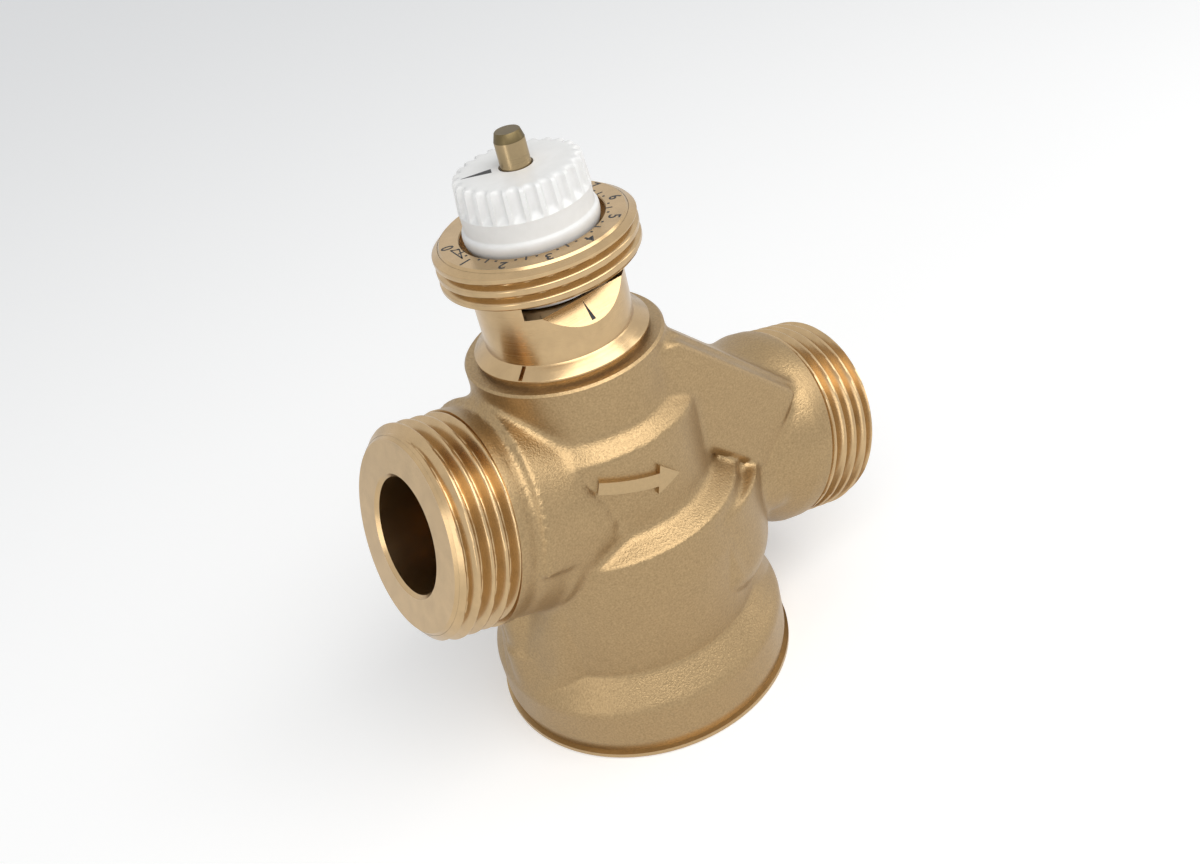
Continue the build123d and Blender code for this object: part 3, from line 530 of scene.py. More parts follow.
def mark_ring_tree(material):
    """Short marks at equal turns on a circle, each a flat bar."""
    tree = ShapeTree("mark_ring")
    count = tree.size("Marks", "NodeSocketInt")
    radius = tree.size("Circle radius")
    width = tree.size("Mark width")
    length = tree.size("Mark length")
    thick = tree.size("Thickness")
    first = tree.size("First turn")
    pace = tree.size("Turn between")
    line = tree.node("GeometryNodeMeshLine")
    tree.feed(line.inputs["Count"], count)
    index = tree.node("GeometryNodeInputIndex")
    angle = tree.math("ADD", first, tree.math("MULTIPLY", index.outputs[0], pace))
    spot = tree.node("ShaderNodeCombineXYZ")
    tree.feed(spot.inputs["X"], tree.math("MULTIPLY", radius, tree.math("COSINE", angle)))
    tree.feed(spot.inputs["Y"], tree.math("MULTIPLY", radius, tree.math("SINE", angle)))
    put = tree.node("GeometryNodeSetPosition", Geometry=line.outputs["Mesh"])
    tree.feed(put.inputs["Position"], spot.outputs[0])
    dims = tree.node("ShaderNodeCombineXYZ")
    tree.feed(dims.inputs["X"], length)
    tree.feed(dims.inputs["Y"], width)
    tree.feed(dims.inputs["Z"], thick)
    bar = tree.node("GeometryNodeMeshCube")
    tree.feed(bar.inputs["Size"], dims.outputs[0])
    turn = tree.node("ShaderNodeCombineXYZ")
    tree.feed(turn.inputs["Z"], angle)
    copies = tree.node("GeometryNodeInstanceOnPoints", Points=put.outputs[0], Instance=bar.outputs["Mesh"])
    tree.feed(copies.inputs["Rotation"], turn.outputs[0])
    tree.finish(copies.outputs[0], material)
    return tree


screw = screw_tree(port_turned)
flutes = flute_tree(white_plastic)
marks = mark_ring_tree(print_black)


# Casting: the frame's own casting, plugged, rounded like a pressing, then machined again

VOXEL = 0.46
CORE_R = 0.001
BOSS_SECTION = [(5, 62.3), (11.4, 62.3), (32.2, 41.5), (23.2, 31.3), (13.0, 41.0), (5, 41.0)]
BOSS_HALF = 13.4
BOSS_EDGE = 1.2
INLET_COLLAR_END = -24.6


def boss_block():
    """The sloping boss at its full width, with eased edges."""
    points = [(x, y, z) for y in (-BOSS_HALF, BOSS_HALF) for x, z in BOSS_SECTION]
    mesh = tidy_mesh(mesh_from("boss_block", points, prism_faces(len(BOSS_SECTION))))
    shape = bmesh.new()
    shape.from_mesh(mesh)
    bmesh.ops.bevel(
        shape, geom=shape.edges[:], offset=BOSS_EDGE * MM, segments=3, profile=0.5, affect="EDGES")
    shape.to_mesh(mesh)
    shape.free()
    return mesh


def plugged_casting():
    """The frame's casting with its openings closed, as one even skin."""
    shell = bmesh.new()
    shell.from_mesh(nodes["valve_body"].data)
    bmesh.ops.remove_doubles(shell, verts=shell.verts, dist=MERGE)
    mesh = bpy.data.meshes.new("casting_shell")
    shell.to_mesh(mesh)
    shell.free()
    plugs = [
        turned_solid("neck_plug", [(CORE_R, 48), (15.3, 48), (15.3, 64.9), (CORE_R, 64.9)]),
        turned_solid("foot_plug", [(CORE_R, 0.2), (24.2, 0.2), (24.75, 2.2), (24.75, 6), (CORE_R, 6)]),
        turned_solid("inlet_plug", [(CORE_R, -34.8), (12, -34.8), (12, -12), (CORE_R, -12)], axis="pipe"),
        turned_solid("outlet_plug", [(CORE_R, 20), (12, 20), (12, 46.4), (CORE_R, 46.4)], axis="pipe"),
        turned_solid("inlet_bulge", [
            (CORE_R, INLET_COLLAR_END), (16.2, INLET_COLLAR_END), (16.8, -21), (17.0, -12), (CORE_R, -12)],
            axis="pipe"),
        boss_block(),
    ]
    carrier = loose_object("casting_blank", joined("casting_blank", [mesh, *plugs]))
    remesh = carrier.modifiers.new("skin", "REMESH")
    remesh.mode = "VOXEL"
    remesh.voxel_size = VOXEL * MM
    skin = baked(carrier)
    bpy.data.objects.remove(carrier)
    return skin


def read_points(mesh):
    points = np.empty(len(mesh.vertices) * 3)
    mesh.vertices.foreach_get("co", points)
    return points.reshape(-1, 3) / MM


def vertex_normals(points, quads):
    across = np.cross(points[quads[:, 2]] - points[quads[:, 0]], points[quads[:, 3]] - points[quads[:, 1]])
    total = np.zeros_like(points)
    for corner in range(4):
        for axis in range(3):
            total[:, axis] += np.bincount(quads[:, corner], across[:, axis], len(points))
    return total / np.maximum(np.linalg.norm(total, axis=1, keepdims=True), 1e-12)


def neighbour_mean(points, edges, degree):
    total = np.zeros_like(points)
    for axis in range(3):
        total[:, axis] = np.bincount(edges[:, 0], points[edges[:, 1], axis], len(points))
        total[:, axis] += np.bincount(edges[:, 1], points[edges[:, 0], axis], len(points))
    return total / degree[:, None]


SKIRT_R = 24.9
SHOULDER_Z = 9.3
SHOULDER_SLOPE = math.radians(55)
BELL_WALL_R = 21.3
BELL_WALL_GAIN = 0.9
BELL_LOW_Z = 14.0
BELL_TOP_Z = 30.0
DUCT_TURN = 147.0
DUCT_SPREAD = 25.0
OUTLET_TURN = 52.0
OUTLET_SPREAD = 26.0
OUTLET_GAIN = 3.0
SWELL_SHIFT = 5.6
SWELL_LOW_R = 16.2
SWELL_GAIN = 4.4
SWELL_RUN = 8.0
SWELL_ROOM = 0.3


def draw_the_bell_in(points):
    """Sets the bell's wall in behind the skirt, which leaves a sloping shoulder over it."""
    radius = np.hypot(points[:, 0], points[:, 1])
    turn = np.abs(np.degrees(np.arctan2(points[:, 1], points[:, 0])))
    z = points[:, 2]
    shoulder = SKIRT_R - (z - SHOULDER_Z) / math.tan(SHOULDER_SLOPE)
    climb = np.clip((z - BELL_LOW_Z) / (BELL_TOP_Z - BELL_LOW_Z), 0, 1)
    wall = BELL_WALL_R + BELL_WALL_GAIN * climb
    # Towards the duct and under the swell the wall comes out to the skirt again
    wall += (SKIRT_R - BELL_WALL_R) * np.clip((turn - DUCT_TURN) / DUCT_SPREAD, 0, 1)
    wall += OUTLET_GAIN * np.clip((OUTLET_TURN - turn) / OUTLET_SPREAD, 0, 1)
    rise = np.clip((z - BELL_LOW_Z) / SWELL_RUN, 0, 1)
    plan = SWELL_LOW_R + SWELL_GAIN * np.sin(math.pi / 2 * rise)
    aside = SWELL_SHIFT * np.sin(np.radians(turn))
    ahead = SWELL_SHIFT * np.cos(np.radians(turn))
    swell = ahead + np.sqrt(plan ** 2 - aside ** 2) + SWELL_ROOM
    target = np.maximum(np.maximum(shoulder, wall), np.where(z > BELL_LOW_Z - 0.2, swell, 0))
    zone = (z > SHOULDER_Z - 0.3) & (z < BELL_TOP_Z) & (radius > target) & (radius < SKIRT_R + 0.2)
    shrink = np.where(zone, target / np.maximum(radius, 1e-6), 1.0)
    points[:, 0] *= shrink
    points[:, 1] *= shrink


BAND_R = 17.95
ARROW_AZIMUTH = -100.0
ARROW_ZONE_TURN = 26.0
ARROW_ZONE_Z = (40.5, 52.4)
ARROW_ZONE_R = (17.9, 19)
FOOT_KEPT_Z = 1.0
NECK_KEPT_Z = 64.6
INLET_KEPT = 9.0
OUTLET_KEPT = 11.0
ROUNDS = 6
BLEND_PULL = 0.9
SMOOTH_EACH = 4
SMOOTH_PULL = 0.5
LAST_PULL = 0.25


def round_like_a_pressing(mesh):
    """Fills the inner corners with soft blends and eases the outer edges, machined zones kept."""
    points = read_points(mesh)
    edges = np.array([edge.vertices[:] for edge in mesh.edges])
    quads = np.array([(*face.vertices[:], face.vertices[0])[:4] for face in mesh.polygons])
    degree = np.maximum(np.bincount(edges.ravel(), minlength=len(points)), 1)
    radius = np.hypot(points[:, 0], points[:, 1])
    turn = np.degrees(np.arctan2(points[:, 1], points[:, 0]))
    # The frame's arrow is pressed flat into the band, and a crisp one is laid on it later
    arrow = abs(turn - ARROW_AZIMUTH) < ARROW_ZONE_TURN
    arrow &= (points[:, 2] > ARROW_ZONE_Z[0]) & (points[:, 2] < ARROW_ZONE_Z[1])
    arrow &= (radius > ARROW_ZONE_R[0]) & (radius < ARROW_ZONE_R[1])
    points[arrow, :2] *= (BAND_R / radius[arrow])[:, None]
    draw_the_bell_in(points)
    run = points[:, 0] * ALONG.x + (points[:, 2] - PORT_CROSS_Z) * ALONG.z
    keep = np.ones(len(points))
    keep *= np.clip((points[:, 2] - FOOT_KEPT_Z) / 1.5, 0, 1)
    keep *= np.clip(NECK_KEPT_Z - points[:, 2], 0, 1)
    keep *= np.clip(run + INLET_REACH - INLET_KEPT, 0, 1)
    keep *= np.clip(OUTLET_REACH - OUTLET_KEPT - run, 0, 1)
    for step in range(ROUNDS):
        normals = vertex_normals(points, quads)
        drift = neighbour_mean(points, edges, degree) - points
        outward = np.maximum((drift * normals).sum(1), 0)
        points += BLEND_PULL * (keep * outward)[:, None] * normals
        if step % SMOOTH_EACH == SMOOTH_EACH - 1:
            points += SMOOTH_PULL * keep[:, None] * (neighbour_mean(points, edges, degree) - points)
    draw_the_bell_in(points)
    points += LAST_PULL * keep[:, None] * (neighbour_mean(points, edges, degree) - points)
    mesh.vertices.foreach_set("co", (points * MM).ravel())
    mesh.update()


def turned_rod(name, start, end, radius, steps=48):
    """A closed straight rod between two points."""
    axis = (end - start).normalized()
    side = axis.orthogonal().normalized()
    other = axis.cross(side)
    points = []
    for place in (start, end):
        for step in range(steps):
            angle = 2 * math.pi * step / steps
            points.append(place + radius * (side * math.cos(angle) + other * math.sin(angle)))
    return tidy_mesh(mesh_from(name, points, prism_faces(steps)))


def machined_rooms():
    """Everything that is cut out of the casting: closed solids, each with the finish it leaves."""
    stem = turned_solid("stem_rooms", [
        (CORE_R, -1), (22.0, -1), (22.0, 11.0), (18.0, 11.0), (18.0, 21.5), (7.25, 21.5), (7.25, 25.0),
        (12.5, 25.0), (12.5, 40.6), (9.2, 40.6), (9.2, 42.0), (5.6, 42.0), (5.6, 45.2), (7.0, 45.2),
        (7.0, 44.4), (14.6, 44.4), (14.6, 53.0), (11.6, 53.0), (11.6, 66), (CORE_R, 66)])
    top = turned_solid("neck_trim", [
        (0.5, 64.1), (14.95, 64.1), (15.6, 63.45), (20, 63.45), (20, 70), (0.5, 70)])
    foot = turned_solid("foot_trim", [(0.5, -2), (30, -2), (30, 0.9), (0.5, 0.9)])
    inlet = turned_solid("inlet_room", [
        (CORE_R, -40), (PORT_BORE_R, -40), (PORT_BORE_R, -15.5), (CORE_R, -15.5)], axis="pipe")
    inlet_end = turned_solid("inlet_trim", [
        (0.5, -40), (30, -40), (30, INLET_COLLAR_END), (0.5, INLET_COLLAR_END)], axis="pipe")
    outlet = turned_solid("outlet_room", [
        (CORE_R, 10), (8.2, 10), (8.2, 26), (PORT_BORE_R, 28), (PORT_BORE_R, 50), (CORE_R, 50)], axis="pipe")
    outlet_end = turned_solid("outlet_trim", [(0.5, 34.0), (30, 34.0), (30, 55), (0.5, 55)], axis="pipe")
    way = turned_rod("rising_way", Vector((-21.0, 0, 46.5)), Vector((-11.0, 0, 49.0)), 4.8)
    duct = turned_rod("duct", Vector((-20.4, 0, 10.0)), Vector((-20.4, 0, 38.1)), 1.0)
    return [
        (stem, stem_turned), (top, cast_metal), (foot, cast_metal), (way, stem_turned), (duct, stem_turned),
        (inlet, port_turned), (inlet_end, port_turned), (outlet, port_turned), (outlet_end, port_turned),
    ]


def cut_with(name, mesh, rooms):
    """The mesh with each room cut out of it, the cut faces in the room's own finish."""
    piece = loose_object(name, mesh)
    cutters = []
    for number, (room, finish) in enumerate(rooms):
        room.materials.append(finish)
        cutter = loose_object("%s_room_%d" % (name, number), room)
        cut = piece.modifiers.new("cut_%d" % number, "BOOLEAN")
        cut.operation = "DIFFERENCE"
        cut.solver = "MANIFOLD"
        cut.object = cutter
        cut.material_mode = "TRANSFER"
        cutters.append(cutter)
    result = baked(piece)
    for item in [*cutters, piece]:
        bpy.data.objects.remove(item)
    return result


CAST_EDGE = 38


def make_casting():
    skin = plugged_casting()
    round_like_a_pressing(skin)
    skin.materials.clear()
    skin.materials.append(cast_metal)
    mesh = cut_with("casting_work", skin, machined_rooms())
    for polygon in mesh.polygons:
        polygon.use_smooth = True
    mesh.set_sharp_from_angle(angle=math.radians(CAST_EDGE))
    note_coarseness(mesh)
    piece = add_object("casting", mesh, "valve", list(mesh.materials))
    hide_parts("valve_body")


FACE_R = 14.64
FACE_BEVEL = 0.45
BORE_BEVEL = 0.55
THREAD_HIDDEN = 0.3
THREAD_STEP = 0.1
COLLAR_LOW_R = THREAD_ROOT_R - 0.4


def make_port_thread(name, near, far, start, collar_run):
    """One port's turned end: face, bore mouth, outside thread and the collar behind it."""
    outward = 1 if far > near else -1
    # The thread starts inside the collar and stops where the face's bevel starts
    low, high = near - outward * THREAD_HIDDEN, far - outward * FACE_BEVEL
    length = abs(high - low)
    thread = screw.build(
        name + "_helix", Length=length * MM, Pitch=THREAD_PITCH * MM, Root_radius=THREAD_ROOT_R * MM,
        Crest_radius=THREAD_CREST_R * MM, Start=start, Low_lead_in=0.1 * MM, High_lead_in=1.3 * MM,
        Crest_share=0.14, Root_share=0.10, Easing=0.10, Around=241, Along=int(length / THREAD_STEP))
    shape = bmesh.new()
    shape.from_mesh(thread)
    # The helix is built up the Z axis and is laid along the pipe here
    axis = ALONG * outward
    side = Vector((0, 1, 0))
    frame_turn = Matrix((side.cross(axis), side, axis)).transposed().to_4x4()
    shape.transform(Matrix.Translation(port_point(low) * MM) @ frame_turn)
    mesh = bpy.data.meshes.new(name + "_thread")
    shape.to_mesh(mesh)
    shape.free()
    outline = [
        (THREAD_ROOT_R - 0.03, near), (THREAD_ROOT_R - 0.03, far - outward * FACE_BEVEL), (FACE_R, far),
        (PORT_BORE_R + BORE_BEVEL, far), (PORT_BORE_R, far - outward * BORE_BEVEL), (PORT_BORE_R, near)]
    core = turned_solid(name + "_core", outline, 160, "pipe")
    collar = turned_solid(name + "_collar", [
        (COLLAR_LOW_R, near), (COLLAR_R, near), (COLLAR_R, near - outward * (collar_run - 0.35)),
        (COLLAR_R - 0.12, near - outward * (collar_run - 0.1)), (COLLAR_R - 0.4, near - outward * collar_run),
        (COLLAR_LOW_R, near - outward * collar_run)], 192, "pipe")
    # The collar's outside is as cast, and its end that faces the thread is turned
    for face in collar.polygons:
        face.material_index = 1 if abs(face.normal.dot(ALONG)) < 0.95 else 0
    whole = tidy_mesh(joined(name, [mesh, core, collar]), 40)
    note_coarseness(whole)
    piece = add_object(name, whole, "valve", [port_turned, cast_metal])
    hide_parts("valve_body")


ARROW_Z = 47.2
ARROW_HALF = 6.6
ARROW_SHAFT = 1.05
ARROW_HEAD = 2.3
ARROW_HEAD_RUN = 3.9
ARROW_NECK = ARROW_HALF - ARROW_HEAD_RUN
ARROW_BLUNT = 0.99
ARROW_LOW_R = 17.6
ARROW_TOP_R = 18.62
ARROW_BEND_R = 18.0


def on_band(x, y, radius):
    """A point of the arrow's own plane, laid round the band and parallel to the pipe."""
    level = x * math.cos(PORT_TILT) + y * math.sin(PORT_TILT)
    rise = -x * math.sin(PORT_TILT) + y * math.cos(PORT_TILT)
    return polar(radius, ARROW_AZIMUTH + math.degrees(level / ARROW_BEND_R), ARROW_Z + rise)


def make_flow_arrow():
    """The raised arrow on the band, in narrow strips that follow the band's round."""
    shaft_step = (ARROW_NECK + ARROW_HALF) / 20
    rows = [(-ARROW_HALF + shaft_step * k, ARROW_SHAFT) for k in range(21)]
    for k in range(11):
        share = ARROW_BLUNT * k / 10
        rows.append((ARROW_NECK + 0.02 + ARROW_HEAD_RUN * share, ARROW_HEAD * (1 - share)))
    corners = ((-1, ARROW_LOW_R), (1, ARROW_LOW_R), (1, ARROW_TOP_R), (-1, ARROW_TOP_R))
    shape = bmesh.new()
    rings = [[shape.verts.new(on_band(x, side * wide, radius) * MM) for side, radius in corners]
             for x, wide in rows]
    for first, second in zip(rings, rings[1:]):
        for k in range(4):
            shape.faces.new((first[k], first[(k + 1) % 4], second[(k + 1) % 4], second[k]))
    shape.faces.new(rings[0])
    shape.faces.new(rings[-1])
    mesh = bpy.data.meshes.new("flow_arrow")
    shape.to_mesh(mesh)
    shape.free()
    tidy_mesh(mesh, 30)
    piece = add_object("flow_arrow", mesh, "valve", [dressed_brass])
    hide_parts("valve_body")


# Bonnet with the ring that carries the actuator thread and the scale

RING_TOP_Z = 83.4
RING_LOW_Z = 77.3
RING_FACE_R = 13.55
RING_CREST_R = 14.95
RING_ROOT_R = 13.9
RING_PITCH = 2.0
NECK_R = 11.3
WINDOW_HALF = 8.84
WINDOW_FLOOR_Z = 74.0
SLOPE_LOW_Z = 70.8
SLOPE_RATE = 1.3
INNER_ROOM_R = 9.3
NOTCH_AZIMUTH = -152.0
WINDOW_IN_Y = -2
WINDOW_OUT_Y = -14


def box_tool(name, low, high, azimuth):
    """A closed box from two corners, turned about the stem axis."""
    turn = Matrix.Rotation(math.radians(azimuth), 3, "Z")
    across, deep, tall = zip(low, high)
    points = [turn @ Vector((x, y, z)) for x in across for y in deep for z in tall]
    faces = [(0, 1, 3, 2), (4, 6, 7, 5), (0, 4, 5, 1), (2, 3, 7, 6), (0, 2, 6, 4), (1, 5, 7, 3)]
    return tidy_mesh(mesh_from(name, points, faces))


def slope_z(y):
    """Height of the sloping face in front of the window at the distance y from the stem."""
    return SLOPE_LOW_Z + SLOPE_RATE * (y + NECK_R)


def window_tool(side):
    """Cutter of one reading window: a level floor and a slope that falls outwards from it."""
    floor_y = (WINDOW_FLOOR_Z - SLOPE_LOW_Z) / SLOPE_RATE - NECK_R
    section = [
        (WINDOW_OUT_Y, slope_z(WINDOW_OUT_Y)), (floor_y, WINDOW_FLOOR_Z), (WINDOW_IN_Y, WINDOW_FLOOR_Z),
        (WINDOW_IN_Y, RING_LOW_Z), (WINDOW_OUT_Y, RING_LOW_Z)]
    points = [(x, side * y, z) for x in (-WINDOW_HALF, WINDOW_HALF) for y, z in section]
    return tidy_mesh(mesh_from("window_tool", points, prism_faces(len(section))))


def make_bonnet():
    """The turned bonnet with its reading windows, its notch and the actuator's thread."""
    outline = [
        (5.05, 54.2), (10.9, 54.2), (11.6, 54.9), (11.6, 64.1), (12.7, 64.1), (12.7, 64.85),
        (13.2, 64.85), (13.36, 65.0), (13.36, 65.25), (13.28, 65.36), (11.55, 66.4), (NECK_R, 66.65),
        (NECK_R, RING_LOW_Z), (RING_FACE_R, RING_LOW_Z), (RING_ROOT_R - 0.05, RING_LOW_Z + 0.2),
        (RING_ROOT_R - 0.05, RING_TOP_Z - 0.35), (RING_FACE_R, RING_TOP_Z), (10.75, RING_TOP_Z),
        (10.6, RING_TOP_Z - 0.15), (10.6, 80.4), (INNER_ROOM_R, 80.4), (INNER_ROOM_R, WINDOW_FLOOR_Z),
        (5.05, WINDOW_FLOOR_Z), (5.05, 73.7), (6.6, 73.7), (6.6, 72.0), (5.05, 72.0)]
    body = turned_solid("bonnet_blank", outline, 192)
    body.materials.append(stem_turned)
    notch = box_tool("notch_tool", (11.2, -0.32, 65.35), (14, 0.32, 66.6), NOTCH_AZIMUTH)
    rooms = [(tool, stem_turned) for tool in (window_tool(1), window_tool(-1), notch)]
    body = cut_with("bonnet_work", body, rooms)
    thread = screw.build(
        "ring_thread", Length=(RING_TOP_Z - RING_LOW_Z - 0.35) * MM, Pitch=RING_PITCH * MM,
        Root_radius=RING_ROOT_R * MM, Crest_radius=RING_CREST_R * MM, Start=0.62, Low_lead_in=0.5 * MM,
        High_lead_in=0.5 * MM, Crest_share=0.44, Root_share=0.0, Easing=0.40, Around=241, Along=80)
    thread.transform(Matrix.Translation((0, 0, RING_LOW_Z * MM)))
    whole = tidy_mesh(joined("bonnet_turned", [body, thread]), 30)
    piece = add_object("bonnet_turned", whole, "valve", [stem_turned])
    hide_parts("bonnet")


PRINT_SUNK = 0.02
PRINT_PROUD = 0.012
PRINT_HALF = 0.015


def numeral(text, azimuth, radius, height_mm, z):
    """One scale number as a thin mesh, its top away from the stem."""
    data = bpy.data.curves.new("number_" + text, "FONT")
    data.body = text
    data.align_x = "CENTER"
    data.align_y = "CENTER"
    data.size = height_mm * 1.4 * MM
    data.offset = 0.035 * MM
    data.extrude = PRINT_PROUD * MM
    data.resolution_u = 3
    holder = loose_object("number_" + text, data)
    bpy.context.view_layer.update()
    mesh = baked(holder)
    spot = polar(radius, azimuth, z) * MM
    mesh.transform(Matrix.Translation(spot) @ Matrix.Rotation(math.radians(azimuth - 90), 4, "Z"))
    bpy.data.objects.remove(holder)
    return mesh


SCALE_ZERO = 157.0
SCALE_STEP = 30.0
NUMBER_R = 12.3
NUMBER_HEIGHT = 1.85
MARK_R = 11.15
# Each row: share of the step in degrees, length and width of the dot or tick
MARK_KINDS = ((7.5, 0.36, 0.36), (15.0, 1.0, 0.26), (22.5, 0.36, 0.36))
TRIANGLE = ((12.1, 162.5), (11.0, 165.5), (11.9, 180.5))


def printed_line(start, end, width):
    """A thin straight stroke on a level face."""
    way = (end - start).normalized() * (width / 2)
    aside = Vector((-way.y, way.x, 0))
    corners = [start - way - aside, end + way - aside, end + way + aside, start - way + aside]
    lift = Vector((0, 0, PRINT_HALF))
    points = [c - lift for c in corners] + [c + lift for c in corners]
    return mesh_from("stroke", points, BOX_FACES)


def make_scale():
    """Numbers 0 to 10, a dot, a tick and a dot between each two, and a small triangle."""
    face = RING_TOP_Z + 0.002
    numbers = [numeral(str(k), SCALE_ZERO + SCALE_STEP * k, NUMBER_R, NUMBER_HEIGHT, face) for k in range(11)]
    parts = []
    for offset, length, width in MARK_KINDS:
        ring = marks.build(
            "scale_marks", Marks=10, Circle_radius=MARK_R * MM, Mark_width=width * MM, Mark_length=length * MM,
            Thickness=0.03 * MM, First_turn=math.radians(SCALE_ZERO + offset),
            Turn_between=math.radians(SCALE_STEP))
        ring.transform(Matrix.Translation((0, 0, face * MM)))
        parts.append(ring)
    corners = [polar(radius, azimuth, face) for radius, azimuth in TRIANGLE]
    for k in range(3):
        parts.append(printed_line(corners[k], corners[(k + 1) % 3], 0.2))
    mesh = joined("scale", numbers + parts)
    tidy_mesh(mesh)
    add_object("scale", mesh, "valve", [print_black])


GRIP_LOW_Z = 87.7
GRIP_HEIGHT = 4.6
GRIP_LOW_R = 9.56
GRIP_HIGH_R = 9.2
KNOB_EYE_R = 2.5
KNOB_FOOT_Z = 81.4
SKIRT_FACE_R = 8.6


def make_knob():
    """White dial: fluted grip over a plain band, a round bead and a skirt."""
    grip = flutes.build(
        "knob_grip", Height=GRIP_HEIGHT * MM, Low_radius=GRIP_LOW_R * MM, High_radius=GRIP_HIGH_R * MM,
        Flute_depth=0.78 * MM, Flutes=25.0, Start=0.3, Run_out=1.1 * MM, Rib_share=0.30,
        Edge_rounding=0.6 * MM, Eye_radius=KNOB_EYE_R * MM, Around=601, Along=84)
    grip.transform(Matrix.Translation((0, 0, GRIP_LOW_Z * MM)))
    outline = [
        (GRIP_LOW_R, GRIP_LOW_Z), (9.50, 87.4), (9.46, 85.1), (9.50, 84.95), (9.62, 84.86), (9.80, 84.72),
        (9.92, 84.45), (9.97, 84.1), (9.97, 83.7), (9.93, 83.3), (9.84, 82.9), (9.70, 82.5), (9.5, 82.2),
        (9.3, KNOB_FOOT_Z), (7.6, KNOB_FOOT_Z), (7.6, 90.3), (6.0, 90.3), (6.0, KNOB_FOOT_Z),
        (4.2, KNOB_FOOT_Z), (4.2, 90.0), (KNOB_EYE_R, 90.0), (KNOB_EYE_R, 92.2), (8.2, 92.2), (8.2, 87.9)]
    core = turned_solid("knob_core", outline, 192)
    # The skirt that shows through the bonnet's windows
    skirt = turned_solid("knob_skirt", [
        (SKIRT_FACE_R, 81.8), (SKIRT_FACE_R, 74.35), (8.5, 74.25), (8.0, 74.25), (7.9, 74.35), (7.9, 81.8)],
        160)
    whole = tidy_mesh(joined("knob", [grip, core, skirt]), 44)
    piece = add_object("knob", whole, "dial", [white_plastic])
    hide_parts("setting_knob")


POINTER_AZIMUTH = 153.5
POINTER_Z = 92.3
POINTER_TIP = (7.85, 0.04)
POINTER_FOOT = (3.5, 0.72)


def make_pointer():
    """The black wedge on the knob that points at the scale."""
    (tip_r, tip_half), (foot_r, foot_half) = POINTER_TIP, POINTER_FOOT
    outline = [(tip_r, -tip_half), (foot_r, -foot_half), (foot_r, foot_half), (tip_r, tip_half)]
    corners = [polar(radius, POINTER_AZIMUTH, POINTER_Z) + polar(half, POINTER_AZIMUTH + 90, 0)
               for radius, half in outline]
    points = [c - Vector((0, 0, PRINT_SUNK)) for c in corners]
    points += [c + Vector((0, 0, PRINT_PROUD)) for c in corners]
    mesh = tidy_mesh(mesh_from("pointer", points, prism_faces(len(corners))))
    add_object("pointer", mesh, "dial", [print_black])


# The wedge's corners from above, across and in front of the stem
WEDGE_CORNERS = ((-0.60, -11.0), (0.10, -11.0), (-0.28, -9.2), (-0.32, -9.2))
TICK_Z = 75.3


def make_window_marks():
    """The ticks on the dial's skirt, and the fixed wedge on the slope that they are read at."""
    ticks = marks.build(
        "skirt_ticks", Marks=24, Circle_radius=SKIRT_FACE_R * MM, Mark_width=0.22 * MM, Mark_length=0.03 * MM,
        Thickness=1.0 * MM, First_turn=math.radians(2), Turn_between=math.radians(15))
    ticks.transform(Matrix.Translation((0, 0, TICK_Z * MM)))
    add_object("skirt_ticks", ticks, "dial", [print_black])
    lift = Vector((0, -SLOPE_RATE, 1)).normalized() * PRINT_HALF
    flat = [Vector((x, y, slope_z(y))) for x, y in WEDGE_CORNERS]
    points = [p - lift for p in flat] + [p + lift for p in flat]
    mesh = tidy_mesh(mesh_from("fixed_wedge", points, BOX_FACES))
    add_object("fixed_wedge", mesh, "valve", [print_black])


PIN_R = 2.2
PIN_TIP_Z = 96.0
PIN_TOP_Z = 97.3


def make_pin():
    """The pressed pin: a plain rod whose end narrows a little and is darker."""
    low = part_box("actuating_pin")[0][2] / MM
    outline = [(CORE_R, low), (PIN_R, low), (PIN_R, PIN_TIP_Z), (2.16, 96.12), (1.84, 97.2),
               (1.74, PIN_TOP_Z), (CORE_R, PIN_TOP_Z)]
    mesh = turned_solid("pin", outline, 96)
    # Faces above the tip's start take the darker brass
    for face in mesh.polygons:
        middle = sum(mesh.vertices[v].co.z for v in face.vertices) / len(face.vertices)
        face.material_index = 1 if middle > (PIN_TIP_Z + 0.05) * MM else 0
    piece = add_object("pin", mesh, "push_stem", [pin_brass, pin_tip_brass])
    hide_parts("actuating_pin")


# Studio

LAMP_AIM = Vector((0, 0, 45)) * MM
# Each row: name, place, width and height, watts, colour
LAMPS = (
    ("key", (20, -300, 480), (760, 320), 2.3, (1.0, 0.98, 0.95)),
    ("side", (480, -160, 260), (120, 360), 0.30, (1.0, 0.98, 0.94)),
    ("left", (-480, -160, 160), (90, 360), 0.25, (1.0, 0.98, 0.94)),
)
AMBIENT_TINT = (0.84, 0.87, 0.90, 1)
AMBIENT_STRENGTH = 0.47
BACKDROP_TINT = (0.93, 0.935, 0.94, 1)
FLOOR_TINT = (0.80, 0.80, 0.80, 1)
FLOOR_GLOW = 0.30
FLOOR_HALF = 3000.0
FLOOR_Z = -0.05


def soft_lamp(name, place, size, power, colour):
    """A rectangle of light that faces the middle of the valve."""
    data = bpy.data.lights.new(name, "AREA")
    data.shape = "RECTANGLE"
    data.size, data.size_y = (v * MM for v in size)
    data.energy = power
    data.color = colour
    lamp = bpy.data.objects.new(name, data)
    place = Vector(place) * MM
    turn = (place - LAMP_AIM).to_track_quat("Z", "Y").to_matrix().to_4x4()
    lamp.matrix_world = Matrix.Translation(place) @ turn
    bpy.context.scene.collection.objects.link(lamp)


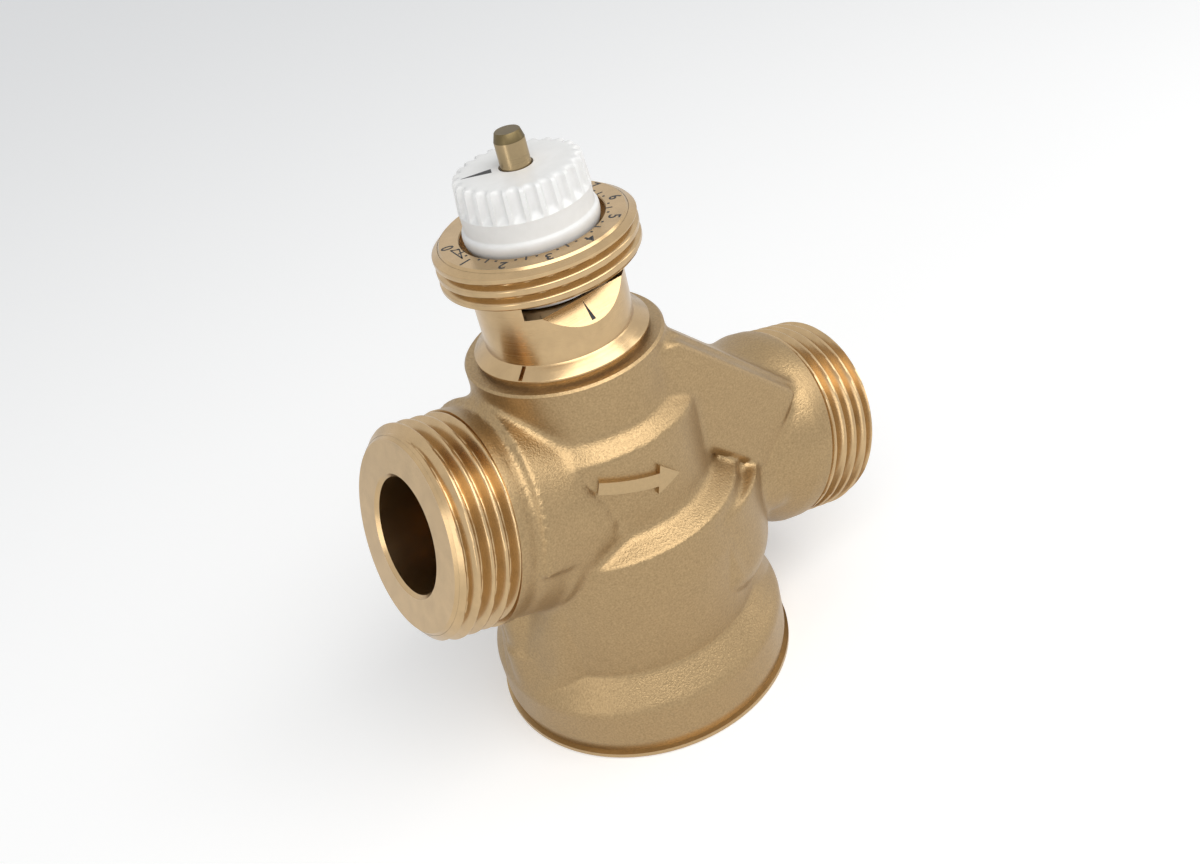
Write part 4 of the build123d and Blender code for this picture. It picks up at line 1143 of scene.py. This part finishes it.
def seen_white(tree):
    """Mix weight: 1 where the eye, a gloss or a see-through ray meets the background."""
    path = tree.nodes.new("ShaderNodeLightPath")
    weight = path.outputs["Is Camera Ray"]
    for ray in ("Is Glossy Ray", "Is Transmission Ray"):
        either = tree.nodes.new("ShaderNodeMath")
        either.operation = "MAXIMUM"
        tree.links.new(weight, either.inputs[0])
        tree.links.new(path.outputs[ray], either.inputs[1])
        weight = either.outputs[0]
    return weight


def light_world():
    """Soft light from all round, with a pale backdrop for the eye."""
    world = bpy.data.worlds.new("studio")
    bpy.context.scene.world = world
    world.use_nodes = True
    tree = world.node_tree
    tree.nodes.clear()
    out = tree.nodes.new("ShaderNodeOutputWorld")
    mix = tree.nodes.new("ShaderNodeMixShader")
    ambient = tree.nodes.new("ShaderNodeBackground")
    ambient.inputs["Color"].default_value = AMBIENT_TINT
    ambient.inputs["Strength"].default_value = AMBIENT_STRENGTH
    white = tree.nodes.new("ShaderNodeBackground")
    white.inputs["Color"].default_value = BACKDROP_TINT
    tree.links.new(seen_white(tree), mix.inputs[0])
    tree.links.new(ambient.outputs[0], mix.inputs[1])
    tree.links.new(white.outputs[0], mix.inputs[2])
    tree.links.new(mix.outputs[0], out.inputs["Surface"])


def lay_floor():
    corners = [(x * FLOOR_HALF, y * FLOOR_HALF, FLOOR_Z) for x, y in ((-1, -1), (1, -1), (1, 1), (-1, 1))]
    mesh = mesh_from("floor", corners, [(0, 1, 2, 3)])
    material, tree, shader = fresh_material("pale_floor")
    shader.inputs["Base Color"].default_value = FLOOR_TINT
    shader.inputs["Roughness"].default_value = 0.9
    out = [n for n in tree.nodes if n.type == "OUTPUT_MATERIAL"][0]
    glow = tree.nodes.new("ShaderNodeEmission")
    glow.inputs["Strength"].default_value = FLOOR_GLOW
    add = tree.nodes.new("ShaderNodeAddShader")
    tree.links.new(shader.outputs[0], add.inputs[0])
    tree.links.new(glow.outputs[0], add.inputs[1])
    tree.links.new(add.outputs[0], out.inputs["Surface"])
    floor = bpy.data.objects.new("floor", mesh)
    mesh.materials.append(material)
    bpy.context.scene.collection.objects.link(floor)


def dress_inner_nodes():
    """Finishes for the frame's own nodes that stay as they are."""
    by_slot = {"turned_brass": stem_turned, "steel": bright_steel, "black_rubber": soft_rubber,
               "white_plastic": white_plastic, "cast_brass": cast_metal}
    for row in frame["record"]["subparts"]:
        finish = dressed_brass if row["node"] == "bottom_lid" else by_slot[row["material_slot"]]
        nodes[row["node"]].data.materials.clear()
        nodes[row["node"]].data.materials.append(finish)


place_camera()
dress_inner_nodes()
make_casting()
make_port_thread("inlet_end", -25.6, -INLET_REACH, 0.2, 2.0)
make_port_thread("outlet_end", 35.3, OUTLET_REACH, 0.6, 2.6)
make_flow_arrow()
make_bonnet()
make_scale()
make_knob()
make_pointer()
make_window_marks()
make_pin()
light_world()
lay_floor()
for lamp in LAMPS:
    soft_lamp(*lamp)

bpy.context.scene.view_settings.view_transform = "Standard"
